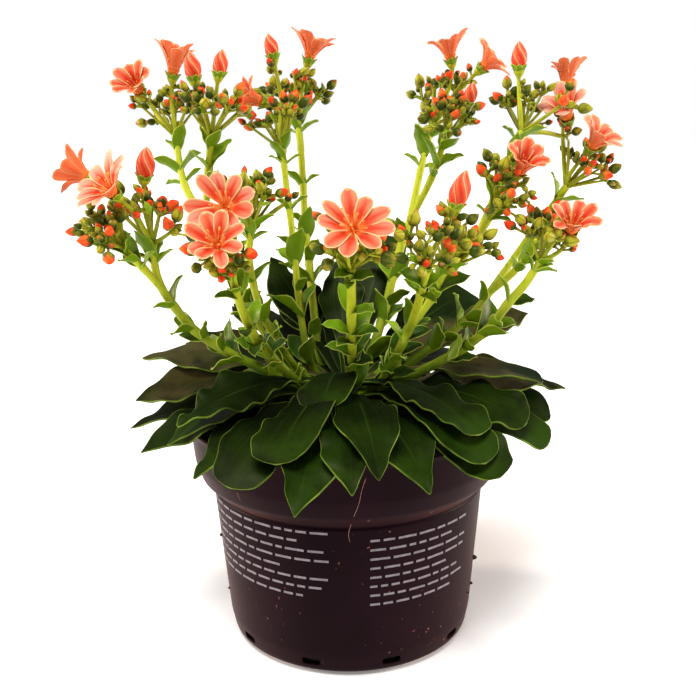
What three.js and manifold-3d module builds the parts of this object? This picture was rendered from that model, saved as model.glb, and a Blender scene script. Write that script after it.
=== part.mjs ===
// A potted lewisia: a leafy rosette in a round nursery pot, with twelve leafy flower stems that
// fork into heads of buds and coral blooms. Millimetres, +Z up, the origin at the centre of the
// pot's underside, -Y towards the viewer and +X to the viewer's right.
import * as THREE from 'three';
import { mergeVertices } from 'three/addons/utils/BufferGeometryUtils.js';
import Module from 'manifold-3d';

const wasm = await Module();
wasm.setup();

// Pot, as radius and height pairs
const POT_OUTSIDE = [
  [43, 0], [46.3, 2.2], [47.7, 9], [52, 58.6], [51.4, 59.6], [56.5, 64.5], [58.6, 71], [59.8, 83], [60.6, 85],
];
const POT_INSIDE = [
  [59.3, 85], [57.2, 71], [55.1, 65.2], [50, 59.2], [46.2, 9.4], [44.4, 3.4],
];
const POT_FLOOR = 2;
const POT_SIDES = 30;
const DRAIN_HOLES = 10;
const DRAIN_HOLE_WIDTH = 7;
const DRAIN_HOLE_HEIGHT = 3;
const DRAIN_HOLE_RISE = 5.4;

// Soil and crown
const SEAT_GAP = 0.3;
const SOIL_TOP = 74;
const SOIL_LUMP = 1.6;
const SOIL_RINGS = 3;
const SOIL_SIDES = 18;
const CROWN = [
  [7, 66], [9.5, 70], [13.5, 78], [14.5, 86], [12.5, 94], [8, 99],
];
const CROWN_TIP = 101;
const CROWN_SIDES = 8;

// Leaf blade: where its stations lie from root to tip, and its half width there as a share
const LEAF_STATIONS = [0, 0.38, 0.62, 0.86, 1];
const LEAF_SHAPE = [0.14, 0.52, 0.98, 0.84, 0.2];
const LEAF_ROOT_RADIUS = 5;
const LEAF_THICK = 2.2;
const LEAF_TIP_THICK = 1;
const LEAF_EDGE = 0.8;
const LEAF_WAVE = 1.3;
const LEAF_CUP = 0.1;
const LEAF_OVER_RIM = 1.8;

// Leaves: azimuth in degrees from the viewer's side round to the right, reach and height of the
// tip, width, height of the root, and how far the blade arches over the line from root to tip
const LEAVES = [
  [-12, 81, 76, 22, 83, 15], [1, 78, 82, 20, 84, 15], [20, 75, 79, 21, 83, 15], [40, 76, 79, 20, 83, 13],
  [70, 77, 79, 20, 82, 11], [91, 79, 82, 20, 83, 11], [-31, 73, 79, 19, 83, 13], [-44, 74, 79, 18, 82, 12],
  [-70, 79, 79, 18, 82, 11], [-87, 83, 81, 19, 83, 11], [-106, 74, 81, 20, 83, 12], [116, 78, 80, 20, 82, 12],
  [-131, 78, 80, 21, 82, 12], [146, 80, 79, 21, 83, 12], [-158, 80, 79, 21, 83, 12],
  [175, 79, 80, 21, 82, 12],
  [7, 78, 83, 21, 91, 14], [38, 73, 84, 21, 91, 13], [-19, 69, 84, 23, 91, 14], [-58, 73, 82, 21, 91, 13],
  [-89, 81, 91, 21, 91, 10], [65, 70, 88, 20, 91, 11], [96, 87, 90, 20, 90, 9], [-118, 78, 92, 21, 90, 9],
  [132, 78, 92, 21, 91, 9], [-143, 78, 92, 21, 91, 9], [162, 76, 93, 21, 90, 9], [-170, 76, 93, 21, 91, 9],
  [39, 68, 92, 21, 97, 9], [-52, 72, 94, 20, 97, 9], [-12, 42, 95, 20, 98, 10], [-101, 83, 100, 20, 97, 7],
  [82, 74, 97, 20, 97, 8], [117, 86, 115, 22, 97, 5], [-121, 80, 104, 21, 97, 6], [-137, 72, 115, 22, 97, 4],
  [136, 78, 124, 23, 97, 3], [-157, 58, 126, 24, 97, 3], [160, 50, 148, 22, 98, 1],
  [-138, 46, 141, 20, 98, 1], [-177, 36, 140, 18, 98, 1],
];

// Flower stems
const STEM_SIDES = 5;
const STEM_STEPS = 6;
const STEM_HOLE_GAP = 0.5;
const STEM_HOLE_STEPS = 4;
const STEM_NODES = [3, 4, 5];
const FORK_STEPS = 2;
const FORK_NODES = [1];
const FORK_RADIUS = 1.2;
const STEM_TAPER = 0.82;
const NODE_BAND = 3;
const HUB_RADIUS = 1.9;
const HUB_LENGTH = 2.4;
const HUB_DOME = 1.5;
const HEAD_BRANCHES = 3;
const BRANCH_LEAN = [16, 62];
const BRANCH_SPREAD = [0.65, 1];
const TWIG_SIDES = 3;
const BRANCH_RADIUS = 0.85;
const BRANCH_END_RADIUS = 1;
const PEDICEL_RADIUS = 0.6;
const PEDICEL_LENGTH = [3.5, 7];
const STALK_RADIUS = 0.9;
const STALK_STATIONS = [0.33, 0.67, 1];
const STALK_LEAN = 45;
const STALK_BEND = 0.38;
const BRACT_THICK = 0.8;
const BRACT_LENGTH = 11;
const BRACT_WIDTH = 0.45;
const BRACT_LEAN = [42, 58];
const BRACT_TIP_LEAN = 68;
const SMALL_BRACT = 0.75;
const BUD_LENGTH = 5.2;
const BUD_RADIUS = 2.2;
const BUD_WAIST = 0.42;
const BUD_LEAN = [30, 56];
const BUD_SIZE = [0.85, 1.1];

// Tries at a free place for each branch or bud, and how far they keep from what is there
const TRIES = 8;
const CLEAR_OF_OTHERS = 0.7;
const CLEAR_OF_OWN = 0.25;

// Each stem has a path from the crown, the radius of its foot and forks. A fork has a path on from
// the stem's end, and a reach for the bud branches of its head.
const STEMS = [
  {
    name: 'stem_far_left', radius: 1.9, seed: 11,
    path: [
      [-10, -3.4, 92], [-23, -8, 100], [-36, -11, 108], [-51, -13, 117], [-60, -15, 128], [-65, -17, 137],
    ],
    forks: [
      { path: [[-67, -17, 145], [-67, -18, 153]], reach: 14 },
      { path: [[-70, -22, 145], [-75, -29, 153]], reach: 12 },
    ],
  },
  {
    name: 'stem_left_back', radius: 2, seed: 12,
    path: [[-10.5, 2, 92], [-18, 2, 99], [-32, 8, 116], [-42, 12, 134], [-50, 12, 151], [-53, 13, 158]],
    forks: [
      { path: [[-59, 18, 166], [-64, 26, 178], [-66, 32, 190]], reach: 16 },
      { path: [[-52, 9, 168], [-49, 6, 180], [-48, 5, 189]], reach: 15 },
    ],
  },
  {
    name: 'stem_left_front', radius: 1.9, seed: 13,
    path: [[-7.5, -8, 92], [-17, -14, 100], [-26, -22, 112], [-31, -30, 121], [-34, -37, 131]],
    forks: [
      { path: [[-35, -42, 137], [-36, -50, 147]], reach: 11 },
    ],
  },
  {
    name: 'stem_left_mid', radius: 1.6, seed: 14,
    path: [[-5, -1.5, 94], [-15, -3, 99], [-26, -8, 116], [-32, -11, 132], [-34, -14, 148]],
    forks: [
      { path: [[-33, -13, 157]], reach: 16 },
    ],
  },
  {
    name: 'stem_back_left', radius: 1.7, seed: 15,
    path: [[-4, 9.5, 92], [-11, 11, 106], [-13, 18, 131], [-15, 26, 148], [-16, 34, 166], [-17, 42, 185]],
    forks: [
      { path: [[-18, 46, 195]], reach: 16 },
    ],
  },
  {
    name: 'stem_back_mid', radius: 1.5, seed: 16,
    path: [[-5.5, 4, 94], [-14, 5, 104], [-18, 10, 130], [-20, 14, 154], [-22, 18, 172]],
    forks: [
      { path: [[-23, 21, 184]], reach: 14 },
    ],
  },
  {
    name: 'stem_front', radius: 1.9, seed: 17,
    path: [[0, -10, 92], [1, -17, 99], [2, -27, 113], [2, -37, 127], [2, -47, 138]],
    forks: [
      { path: [[2, -56, 148]], reach: 12 },
    ],
  },
  {
    name: 'stem_back_right', radius: 2, seed: 28,
    path: [[4, 9, 92], [9, 10, 103], [16, 18, 122], [22, 26, 143], [27, 31, 156]],
    forks: [
      { path: [[30, 37, 170], [34, 43, 181], [37, 48, 192]], reach: 20 },
      { path: [[33, 30, 166], [37, 27, 178], [40, 25, 187]], reach: 12 },
    ],
  },
  {
    name: 'stem_right_front', radius: 1.9, seed: 19,
    path: [[5, -6.5, 93], [12, -10, 98], [18, -16, 110], [23, -21, 122]],
    forks: [
      { path: [[25, -31, 132], [26, -39, 140], [27, -45, 147]], reach: 12 },
      { path: [[30, -22, 132], [35, -24, 143]], reach: 14 },
    ],
  },
  {
    name: 'stem_right_mid', radius: 2, seed: 20,
    path: [[5.5, 0, 94], [15, 1, 102], [28, 2, 124], [41, 1, 140], [50, -1, 153]],
    forks: [
      { path: [[55, -7, 163]], reach: 13 },
      { path: [[57, 4, 168], [63, 9, 180], [67, 12, 189]], reach: 17 },
    ],
  },
  {
    name: 'stem_right_back', radius: 1.9, seed: 31,
    path: [[10, 3.5, 92], [20, 6, 99], [37, 8, 111], [50, 13, 120], [57, 16, 128]],
    forks: [
      {
        path: [[61, 20, 137], [73, 26, 147], [82, 25, 158], [87, 22, 168]],
        reach: 16,
      },
      { path: [[66, 15, 136], [75, 16, 148]], reach: 8 },
    ],
  },
  {
    name: 'stem_far_right', radius: 1.9, seed: 22,
    path: [[10, -4, 92], [18, -7, 97], [35, -10, 107], [49, -12, 116], [57, -15, 127], [64, -17, 136]],
    forks: [
      { path: [[69, -18, 144]], reach: 13 },
    ],
  },
];

// Open blooms: the throat, the way it faces, the reach and height of the petals' tips, the number
// of petals, and the stem and fork that carry it
const BLOOMS = [
  {
    name: 'bloom_front', stem: 'stem_front', fork: 0,
    throat: [3, -66, 162], facing: [0.05, -0.8, 0.6], reach: 13, rise: 5, petals: 9,
  },
  {
    name: 'bloom_left_upper', stem: 'stem_left_front', fork: 0,
    throat: [-37, -51, 168], facing: [-0.15, -0.9, 0.4], reach: 13, rise: 5, petals: 9,
  },
  {
    name: 'bloom_left_lower', stem: 'stem_left_front', fork: 0,
    throat: [-38, -66, 158], facing: [-0.05, -0.8, 0.6], reach: 11, rise: 6, petals: 8,
  },
  {
    name: 'bloom_far_left_front', stem: 'stem_far_left', fork: 0,
    throat: [-76, -38, 173], facing: [-0.5, -0.6, 0.6], reach: 13, rise: 7, petals: 9,
  },
  {
    name: 'bloom_far_left_back', stem: 'stem_far_left', fork: 1,
    throat: [-89, -20, 177], facing: [-0.9, 0.1, 0.4], reach: 10, rise: 8, petals: 8,
  },
  {
    name: 'bloom_left_back_cup', stem: 'stem_left_back', fork: 0,
    throat: [-80, 32, 209], facing: [-0.3, -0.75, 0.6], reach: 9.5, rise: 9, petals: 8,
  },
  {
    name: 'bloom_left_back_top', stem: 'stem_left_back', fork: 0,
    throat: [-65, 32, 216], facing: [0.2, -0.1, 1], reach: 9, rise: 11, petals: 8,
  },
  {
    name: 'bloom_back_left_top', stem: 'stem_back_left', fork: 0,
    throat: [-12, 46, 222], facing: [0.3, -0.1, 0.95], reach: 11, rise: 9, petals: 8,
  },
  {
    name: 'bloom_back_mid_side', stem: 'stem_back_mid', fork: 0,
    throat: [-33, 22, 203], facing: [-0.9, -0.3, 0.3], reach: 9, rise: 8, petals: 8,
  },
  {
    name: 'bloom_back_right_side', stem: 'stem_back_right', fork: 0,
    throat: [58, 37, 216], facing: [0.7, -0.3, 0.6], reach: 11, rise: 7, petals: 8,
  },
  {
    name: 'bloom_back_right_top', stem: 'stem_back_right', fork: 0,
    throat: [44, 47, 221], facing: [-0.2, -0.1, 1], reach: 10, rise: 9, petals: 8,
  },
  {
    name: 'bloom_right_mid_cup', stem: 'stem_right_mid', fork: 0,
    throat: [63, -12, 177], facing: [0.25, -0.65, 0.7], reach: 9, rise: 10, petals: 8,
  },
  {
    name: 'bloom_right_back_upper', stem: 'stem_right_mid', fork: 1,
    throat: [86, 22, 196], facing: [-0.4, -0.5, 0.8], reach: 10, rise: 10, petals: 8,
  },
  {
    name: 'bloom_right_back_side', stem: 'stem_right_back', fork: 0,
    throat: [96, 16, 185], facing: [0.45, -0.5, 0.75], reach: 11, rise: 9, petals: 8,
  },
  {
    name: 'bloom_right_back_top', stem: 'stem_right_back', fork: 0,
    throat: [89, 36, 209], facing: [0.1, 0.2, 1], reach: 8, rise: 10, petals: 7,
  },
  {
    name: 'bloom_far_right', stem: 'stem_far_right', fork: 0,
    throat: [79, -22, 157], facing: [0.05, -0.6, 0.8], reach: 10, rise: 8, petals: 8,
  },
];

// Opening buds: the foot of the folded petals, the way they point, their length and their radius
const OPENING_BUDS = [
  {
    name: 'opening_bud_far_left', stem: 'stem_far_left', fork: 0,
    foot: [-68, -20, 176], facing: [0.2, -0.3, 0.9], length: 11, radius: 3.2,
  },
  {
    name: 'opening_bud_left_back', stem: 'stem_left_back', fork: 1,
    foot: [-54, 11, 210], facing: [-0.1, -0.1, 1], length: 10, radius: 3,
  },
  {
    name: 'opening_bud_left_back_tip', stem: 'stem_left_back', fork: 1,
    foot: [-44, 4, 211], facing: [0.2, 0, 1], length: 9, radius: 2.6,
  },
  {
    name: 'opening_bud_back_mid', stem: 'stem_back_mid', fork: 0,
    foot: [-26, 30, 219], facing: [-0.2, 0, 1], length: 9, radius: 2.6,
  },
  {
    name: 'opening_bud_back_right', stem: 'stem_back_right', fork: 1,
    foot: [49, 29, 200], facing: [0.3, 0, 1], length: 9, radius: 2.6,
  },
  {
    name: 'opening_bud_right_front', stem: 'stem_right_front', fork: 0,
    foot: [36, -42, 166], facing: [0.3, -0.1, 1], length: 12, radius: 3.2,
  },
  {
    name: 'opening_bud_right_mid', stem: 'stem_right_mid', fork: 1,
    foot: [66, 14, 212], facing: [0, 0, 1], length: 10, radius: 2.8,
  },
];
const THROAT_DEPTH = 3.5;
const CALYX_LENGTH = 3.2;
const CALYX_RADIUS = 2.1;
const FUNNEL_FOOT = 1.1;
const FUNNEL_RIM = [2.4, 2.3];
const PETAL_THICK = 0.75;
const PETAL_STATIONS = [0.42, 0.78];
const PETAL_SHAPE = [0.72, 1];
const PETAL_WIDTH = 0.26;
const PETAL_SHARE = 0.92;

const COLOURS = {
  pot: [0x2b1a24, 0.42],
  soil: [0x3a2a1e, 0.95],
  leaf: [0x2c4d16, 0.45],
  stem: [0x9dae3a, 0.5],
  petal: [0xf4705a, 0.55],
};

// A repeatable draw of numbers from 0 to 1
class Draw {
  constructor(seed) {
    this.state = seed >>> 0;
  }

  next() {
    this.state = (Math.imul(this.state, 1664525) + 1013904223) >>> 0;
    return this.state / 4294967296;
  }

  between(low, high) {
    return low + (high - low) * this.next();
  }
}

const UP = new THREE.Vector3(0, 0, 1);
const radians = THREE.MathUtils.degToRad;
const vector = (triple) => new THREE.Vector3(...triple);
const mix = THREE.MathUtils.lerp;

// Point at a distance along a direction
function along(origin, direction, distance) {
  return origin.clone().addScaledVector(direction, distance);
}

// Two unit vectors square to an axis and to each other, turning left round it
function squareTo(axis) {
  const helper = Math.abs(axis.z) < 0.9 ? UP : new THREE.Vector3(1, 0, 0);
  const first = new THREE.Vector3().crossVectors(helper, axis).normalize();
  const second = new THREE.Vector3().crossVectors(axis, first).normalize();
  return [first, second];
}

// Unit vector tilted away from an axis by one angle and turned round it by another
function tilted(axis, tilt, turn) {
  const [first, second] = squareTo(axis);
  const sideways = first.multiplyScalar(Math.cos(turn)).addScaledVector(second, Math.sin(turn));
  return axis.clone().multiplyScalar(Math.cos(tilt)).addScaledVector(sideways, Math.sin(tilt)).normalize();
}

// Point of a curve bent by one control point
function bentPoint(start, control, end, t) {
  return start.clone().multiplyScalar((1 - t) * (1 - t))
    .addScaledVector(control, 2 * t * (1 - t))
    .addScaledVector(end, t * t);
}

// Closed skin put together from rings of corners, each turning left round the way it grows
class Skin {
  constructor() {
    this.corners = [];
    this.triangles = [];
  }

  corner(point) {
    this.corners.push(point);
    return this.corners.length - 1;
  }

  ring(points) {
    return points.map((point) => this.corner(point));
  }

  // The first half of a blade's ring is its upper face, and the lower face is split alike
  wall(lower, upper) {
    const sides = lower.length;
    lower.forEach((a, side) => {
      const next = (side + 1) % sides;
      const [b, c, d] = [lower[next], upper[side], upper[next]];
      this.triangles.push(...(side < sides / 2 ? [a, b, d, a, d, c] : [a, b, c, b, d, c]));
    });
  }

  // Wall from a ring to one of twice as many corners
  flare(lower, upper) {
    lower.forEach((a, side) => {
      const b = lower[(side + 1) % lower.length];
      const [c, d, e] = [0, 1, 2].map((step) => upper[(2 * side + step) % upper.length]);
      this.triangles.push(a, b, d, a, d, c, b, e, d);
    });
  }

  point(ring, tip) {
    ring.forEach((a, side) => this.triangles.push(a, ring[(side + 1) % ring.length], tip));
  }

  floor(ring) {
    for (let side = 1; side + 1 < ring.length; side += 1) {
      this.triangles.push(ring[0], ring[side + 1], ring[side]);
    }
  }

  lid(ring) {
    for (let side = 1; side + 1 < ring.length; side += 1) {
      this.triangles.push(ring[0], ring[side], ring[side + 1]);
    }
  }

  solid() {
    const mesh = new wasm.Mesh({
      numProp: 3,
      vertProperties: new Float32Array(this.corners.flatMap((corner) => [corner.x, corner.y, corner.z])),
      triVerts: new Uint32Array(this.triangles),
    });
    return new wasm.Manifold(mesh);
  }
}

// Solid of a three.js geometry
function solidFrom(geometry) {
  const bare = geometry.clone();
  bare.deleteAttribute('normal');
  bare.deleteAttribute('uv');
  const merged = mergeVertices(bare, 1e-4);
  const mesh = new wasm.Mesh({
    numProp: 3,
    vertProperties: new Float32Array(merged.attributes.position.array),
    triVerts: new Uint32Array(merged.index.array),
  });
  return new wasm.Manifold(mesh);
}

// Solid skinned over rings of corners, closed flat or drawn to a tip
function loft(rings, tip = null) {
  const skin = new Skin();
  const numbered = rings.map((ring) => skin.ring(ring));
  numbered.slice(1).forEach((ring, index) => skin.wall(numbered[index], ring));
  skin.floor(numbered[0]);
  if (tip) {
    skin.point(numbered.at(-1), skin.corner(tip));
  } else {
    skin.lid(numbered.at(-1));
  }
  return skin.solid();
}

// Ring of a blade with a ridge along its middle: six corners
function ridgedRing({ centre, side, normal, half, thick, liftRight, liftLeft }) {
  const corner = (across, height) => along(along(centre, side, across), normal, height);
  const edge = LEAF_EDGE / 2;
  return [
    corner(half, liftRight + edge), corner(0, thick / 2), corner(-half, liftLeft + edge),
    corner(-half, liftLeft - edge), corner(0, -thick / 2), corner(half, liftRight - edge),
  ];
}

// Ring of a thin flat blade: four corners
function flatRing(centre, side, normal, half, thick) {
  const corner = (across, height) => along(along(centre, side, across), normal, height);
  return [
    corner(half, thick / 2), corner(-half, thick / 2), corner(-half, -thick / 2), corner(half, -thick / 2),
  ];
}

// Round ring about an axis, whose first corner lies the given way
function roundRing(centre, axis, first, sides, radius) {
  const across = along(first, axis, -first.dot(axis)).normalize();
  const over = new THREE.Vector3().crossVectors(axis, across);
  return Array.from({ length: sides }, (_, corner) => {
    const angle = (2 * Math.PI * corner) / sides;
    return along(along(centre, across, radius * Math.cos(angle)), over, radius * Math.sin(angle));
  });
}

// Rings along points, with a radius for each
function rodRings(points, radii, sides) {
  let across = null;
  return points.map((point, index) => {
    const before = points[Math.max(index - 1, 0)];
    const after = points[Math.min(index + 1, points.length - 1)];
    const axis = new THREE.Vector3().subVectors(after, before).normalize();
    across = across ?? squareTo(axis)[0];
    const ring = roundRing(point, axis, across, sides, radii[index]);
    across = new THREE.Vector3().subVectors(ring[0], point).normalize();
    return ring;
  });
}

function fused(solids) {
  return wasm.Manifold.union(solids);
}

function biggestPiece(solid) {
  return solid.decompose().reduce((best, piece) => (piece.volume() > best.volume() ? piece : best));
}

// Points spread evenly along a smooth path
function pathPoints(path, steps) {
  const curve = new THREE.CatmullRomCurve3(path.map(vector), false, 'catmullrom', 0.5);
  return Array.from({ length: steps + 1 }, (_, step) => curve.getPoint(step / steps));
}

// Where a bloom's funnel stands, and where its calyx hangs from its stalk
function bloomSeat(bloom) {
  const facing = vector(bloom.facing).normalize();
  const foot = along(vector(bloom.throat), facing, -THROAT_DEPTH);
  return { facing, foot, calyxTop: along(foot, facing, -SEAT_GAP) };
}

// Point on the middle line of a petal, as reach from the bloom's axis and height over its foot
function petalLine(bloom, t) {
  const start = [FUNNEL_RIM[0], FUNNEL_RIM[1] + 0.4];
  const control = [bloom.reach * 0.35, bloom.rise + 1];
  const end = [bloom.reach, bloom.rise];
  const blend = (k) => (1 - t) ** 2 * start[k] + 2 * t * (1 - t) * control[k] + t * t * end[k];
  return [blend(0), blend(1)];
}

// What is already taken up by stems, stalks, buds and blooms
class Room {
  constructor() {
    this.balls = [];
  }

  take(owner, kind, point, radius) {
    this.balls.push({ owner, kind, point, radius });
  }

  takeLine(owner, kind, points, radius) {
    points.forEach((point, index) => {
      this.take(owner, kind, point, radius);
      if (index > 0) {
        this.take(owner, kind, point.clone().lerp(points[index - 1], 0.5), radius);
      }
    });
  }

  takeLeaf(leaf) {
    for (let t = 0.3; t < 1; t += 0.07) {
      const { centre, side } = leafPlace(leaf, t);
      const half = (leaf[3] / 2) * leafShare(t);
      [-0.75, -0.25, 0.25, 0.75].forEach((share) => {
        this.take(-1, 'leaf', along(centre, side, half * share), half * 0.3);
      });
    }
  }

  clearOfBlooms(point, radius) {
    return BLOOMS.every((bloom) => {
      const { facing, foot } = bloomSeat(bloom);
      const offset = new THREE.Vector3().subVectors(point, foot);
      const height = offset.dot(facing);
      const reach = along(offset, facing, -height).length();
      for (let step = 0; step <= 6; step += 1) {
        const [petalReach, petalHeight] = petalLine(bloom, step / 6);
        if (Math.hypot(reach - petalReach, height - petalHeight) < radius + 1.4) {
          return false;
        }
      }
      return Math.hypot(reach, height - 1) > radius + 2.4;
    });
  }

  clearOfBalls(owner, point, radius, parent) {
    return this.balls.every((ball) => {
      if (ball.owner === owner && ball.kind === parent) {
        return true;
      }
      const gap = ball.point.distanceTo(point) - ball.radius - radius;
      return gap > (ball.owner === owner ? CLEAR_OF_OWN : CLEAR_OF_OTHERS);
    });
  }

  free(owner, point, radius, parent = null) {
    return this.clearOfBalls(owner, point, radius, parent) && this.clearOfBlooms(point, radius);
  }
}

// Half width of a leaf part of the way to its tip, as a share of its widest
function leafShare(t) {
  const next = Math.max(LEAF_STATIONS.findIndex((station) => station >= t), 1);
  const between = (t - LEAF_STATIONS[next - 1]) / (LEAF_STATIONS[next] - LEAF_STATIONS[next - 1]);
  return mix(LEAF_SHAPE[next - 1], LEAF_SHAPE[next], between);
}

// Middle of a leaf's blade and the way it lies, part of the way to its tip
function leafPlace(leaf, t) {
  const [azimuth, reach, tipHeight, , rootHeight] = leaf;
  const angle = radians(azimuth);
  const outward = new THREE.Vector3(Math.sin(angle), -Math.cos(angle), 0);
  const side = new THREE.Vector3(Math.cos(angle), Math.sin(angle), 0);
  const root = along(outward.clone().multiplyScalar(LEAF_ROOT_RADIUS), UP, rootHeight);
  const tip = along(outward.clone().multiplyScalar(reach), UP, tipHeight);
  const bend = root.clone().lerp(tip, 0.5).setZ(bendHeight(leaf));
  const centre = bentPoint(root, bend, tip, t);
  const axis = bentPoint(root, bend, tip, t + 0.01).sub(centre).normalize();
  return { centre, side, axis, normal: new THREE.Vector3().crossVectors(axis, side) };
}

// Unit vector that leans from an axis towards a vector square to it
function leaning(axis, outward, tilt) {
  return axis.clone().multiplyScalar(Math.cos(tilt)).addScaledVector(outward, Math.sin(tilt));
}

// Rows of a limb: each has its place, its axis and the way its ring's first corner lies
function limbRows(points, radii, nodes) {
  let across = null;
  return points.map((point, index) => {
    const before = points[Math.max(index - 1, 0)];
    const after = points[Math.min(index + 1, points.length - 1)];
    const axis = new THREE.Vector3().subVectors(after, before).normalize();
    across = across ?? squareTo(axis)[0];
    across = along(across, axis, -across.dot(axis)).normalize();
    return { point, axis, across, radius: radii[index], leafy: nodes.includes(index), bracts: [] };
  });
}

// Way out through the middle of one side of a row's ring
function sideways({ axis, across }, side, sides) {
  const over = new THREE.Vector3().crossVectors(axis, across);
  const angle = (2 * Math.PI * (side + 0.5)) / sides;
  return across.clone().multiplyScalar(Math.cos(angle)).addScaledVector(over, Math.sin(angle));
}

// Two bracts at each leafy row, turning round the stem from row to row
function addBracts(room, owner, rows, draw) {
  rows.filter((row) => row.leafy).forEach((row, node) => {
    [2 * node, 2 * node + 2].forEach((turn) => {
      const side = turn % STEM_SIDES;
      const outward = sideways(row, side, STEM_SIDES);
      const length = BRACT_LENGTH * draw.between(0.8, 1.1) * (row.radius < 1.5 ? SMALL_BRACT : 1);
      const away = leaning(row.axis, outward, radians(draw.between(...BRACT_LEAN)));
      const middle = along(row.point, away, length * 0.5 + row.radius);
      const end = along(middle, leaning(row.axis, outward, radians(BRACT_TIP_LEAN)), length * 0.5);
      const clear = room.free(owner, middle, 1.6, 'stem') && room.free(owner, end, 0.8, 'stem');
      if (clear) {
        row.bracts.push({ side, middle, end, width: length * BRACT_WIDTH });
        room.take(owner, 'bract', middle, 1.8);
        room.take(owner, 'bract', middle.clone().lerp(end, 0.5), 1);
        room.take(owner, 'bract', end, 0.5);
      }
    });
  });
}

// Up to three buds round a branch's end
function branchBuds(room, owner, branch, draw) {
  const buds = [];
  for (let slot = 0; slot < TWIG_SIDES; slot += 1) {
    for (let attempt = 0; attempt < TRIES; attempt += 1) {
      const tilt = radians(draw.between(...BUD_LEAN));
      const turn = radians(60 + slot * 120 + draw.between(-20, 20));
      const direction = tilted(branch.direction, tilt, turn);
      const stalk = draw.between(...PEDICEL_LENGTH);
      const size = draw.between(...BUD_SIZE);
      const foot = along(branch.end, direction, stalk);
      const centre = along(foot, direction, BUD_LENGTH * size * BUD_WAIST);
      const clear = room.free(owner, centre, BUD_RADIUS * size) && room.free(owner, foot, 0.8, 'tip');
      if (clear) {
        buds.push({ slot, foot, direction, size });
        room.take(owner, 'bud', centre, BUD_RADIUS * size);
        room.take(owner, 'bud', foot, 0.8);
        break;
      }
    }
  }
  return buds;
}

// Bud branches on the sides of a head's joint that no bloom's stalk has taken
function headBranches(room, owner, hub, head, taken, draw) {
  const branches = [];
  const sides = Array.from({ length: STEM_SIDES }, (_, step) => (2 * step) % STEM_SIDES);
  sides.filter((side) => !taken.includes(side)).slice(0, HEAD_BRANCHES).forEach((side) => {
    for (let attempt = 0; attempt < TRIES; attempt += 1) {
      const outward = sideways(hub, side, STEM_SIDES);
      const direction = leaning(hub.axis, outward, radians(draw.between(...BRANCH_LEAN)));
      const end = along(hub.point, direction, head.reach * draw.between(...BRANCH_SPREAD));
      const middle = hub.point.clone().lerp(end, 0.55);
      const outer = hub.point.clone().lerp(end, 0.8);
      const clear = [middle, outer, end].every((point) => room.free(owner, point, 1, 'stem'));
      if (clear) {
        branches.push({ side, middle, end, direction });
        room.take(owner, 'branch', middle, 1);
        room.take(owner, 'tip', end, 1.2);
        break;
      }
    }
  });
  branches.forEach((branch) => {
    branch.buds = branchBuds(room, owner, branch, draw);
  });
  return branches;
}

// A stalk that leaves one side of a head's joint and ends square to what it carries
function stalkPoints(hub, side, end, facing) {
  const reach = STALK_BEND * hub.point.distanceTo(end);
  const leaving = leaning(hub.axis, sideways(hub, side, STEM_SIDES), radians(STALK_LEAN));
  const curve = new THREE.CubicBezierCurve3(
    hub.point, along(hub.point, leaving, reach), along(end, facing, -reach), end,
  );
  return STALK_STATIONS.map((t) => curve.getPoint(t));
}

// The free side of a head's joint that looks most towards a point
function nearestSide(hub, point, taken) {
  const way = new THREE.Vector3().subVectors(point, hub.point);
  const sides = Array.from({ length: STEM_SIDES }, (_, side) => side);
  const free = sides.filter((side) => !taken.includes(side));
  const score = (side) => sideways(hub, side, STEM_SIDES).dot(way);
  return free.reduce((best, side) => (score(side) > score(best) ? side : best));
}

// A stem's rows up to the end of each fork, with the joint that the fork's head leaves
function limbPlans(stem) {
  const main = pathPoints(stem.path, STEM_STEPS);
  const top = stem.radius * STEM_TAPER;
  const mainRadii = main.map((_, step) => mix(stem.radius, top, step / STEM_STEPS));
  return stem.forks.map((head, index) => {
    const fork = pathPoints([stem.path.at(-1), ...head.path], FORK_STEPS);
    const radii = fork.map((_, step) => mix(top, FORK_RADIUS, step / FORK_STEPS));
    const foot = fork[0].clone().lerp(main.at(-2), 0.1);
    const lower = index === 0 ? main : [foot];
    const lowerRadii = index === 0 ? mainRadii : [top * 0.8];
    const forkNodes = FORK_NODES.map((node) => node + lower.length - 1);
    const nodes = index === 0 ? [...STEM_NODES, ...forkNodes] : forkNodes;
    const rows = limbRows([...lower, ...fork.slice(1)], [...lowerRadii, ...radii.slice(1)], nodes);
    return { rows, hub: rows.at(-1), head, taken: [], stalks: [], branches: [] };
  });
}

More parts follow.
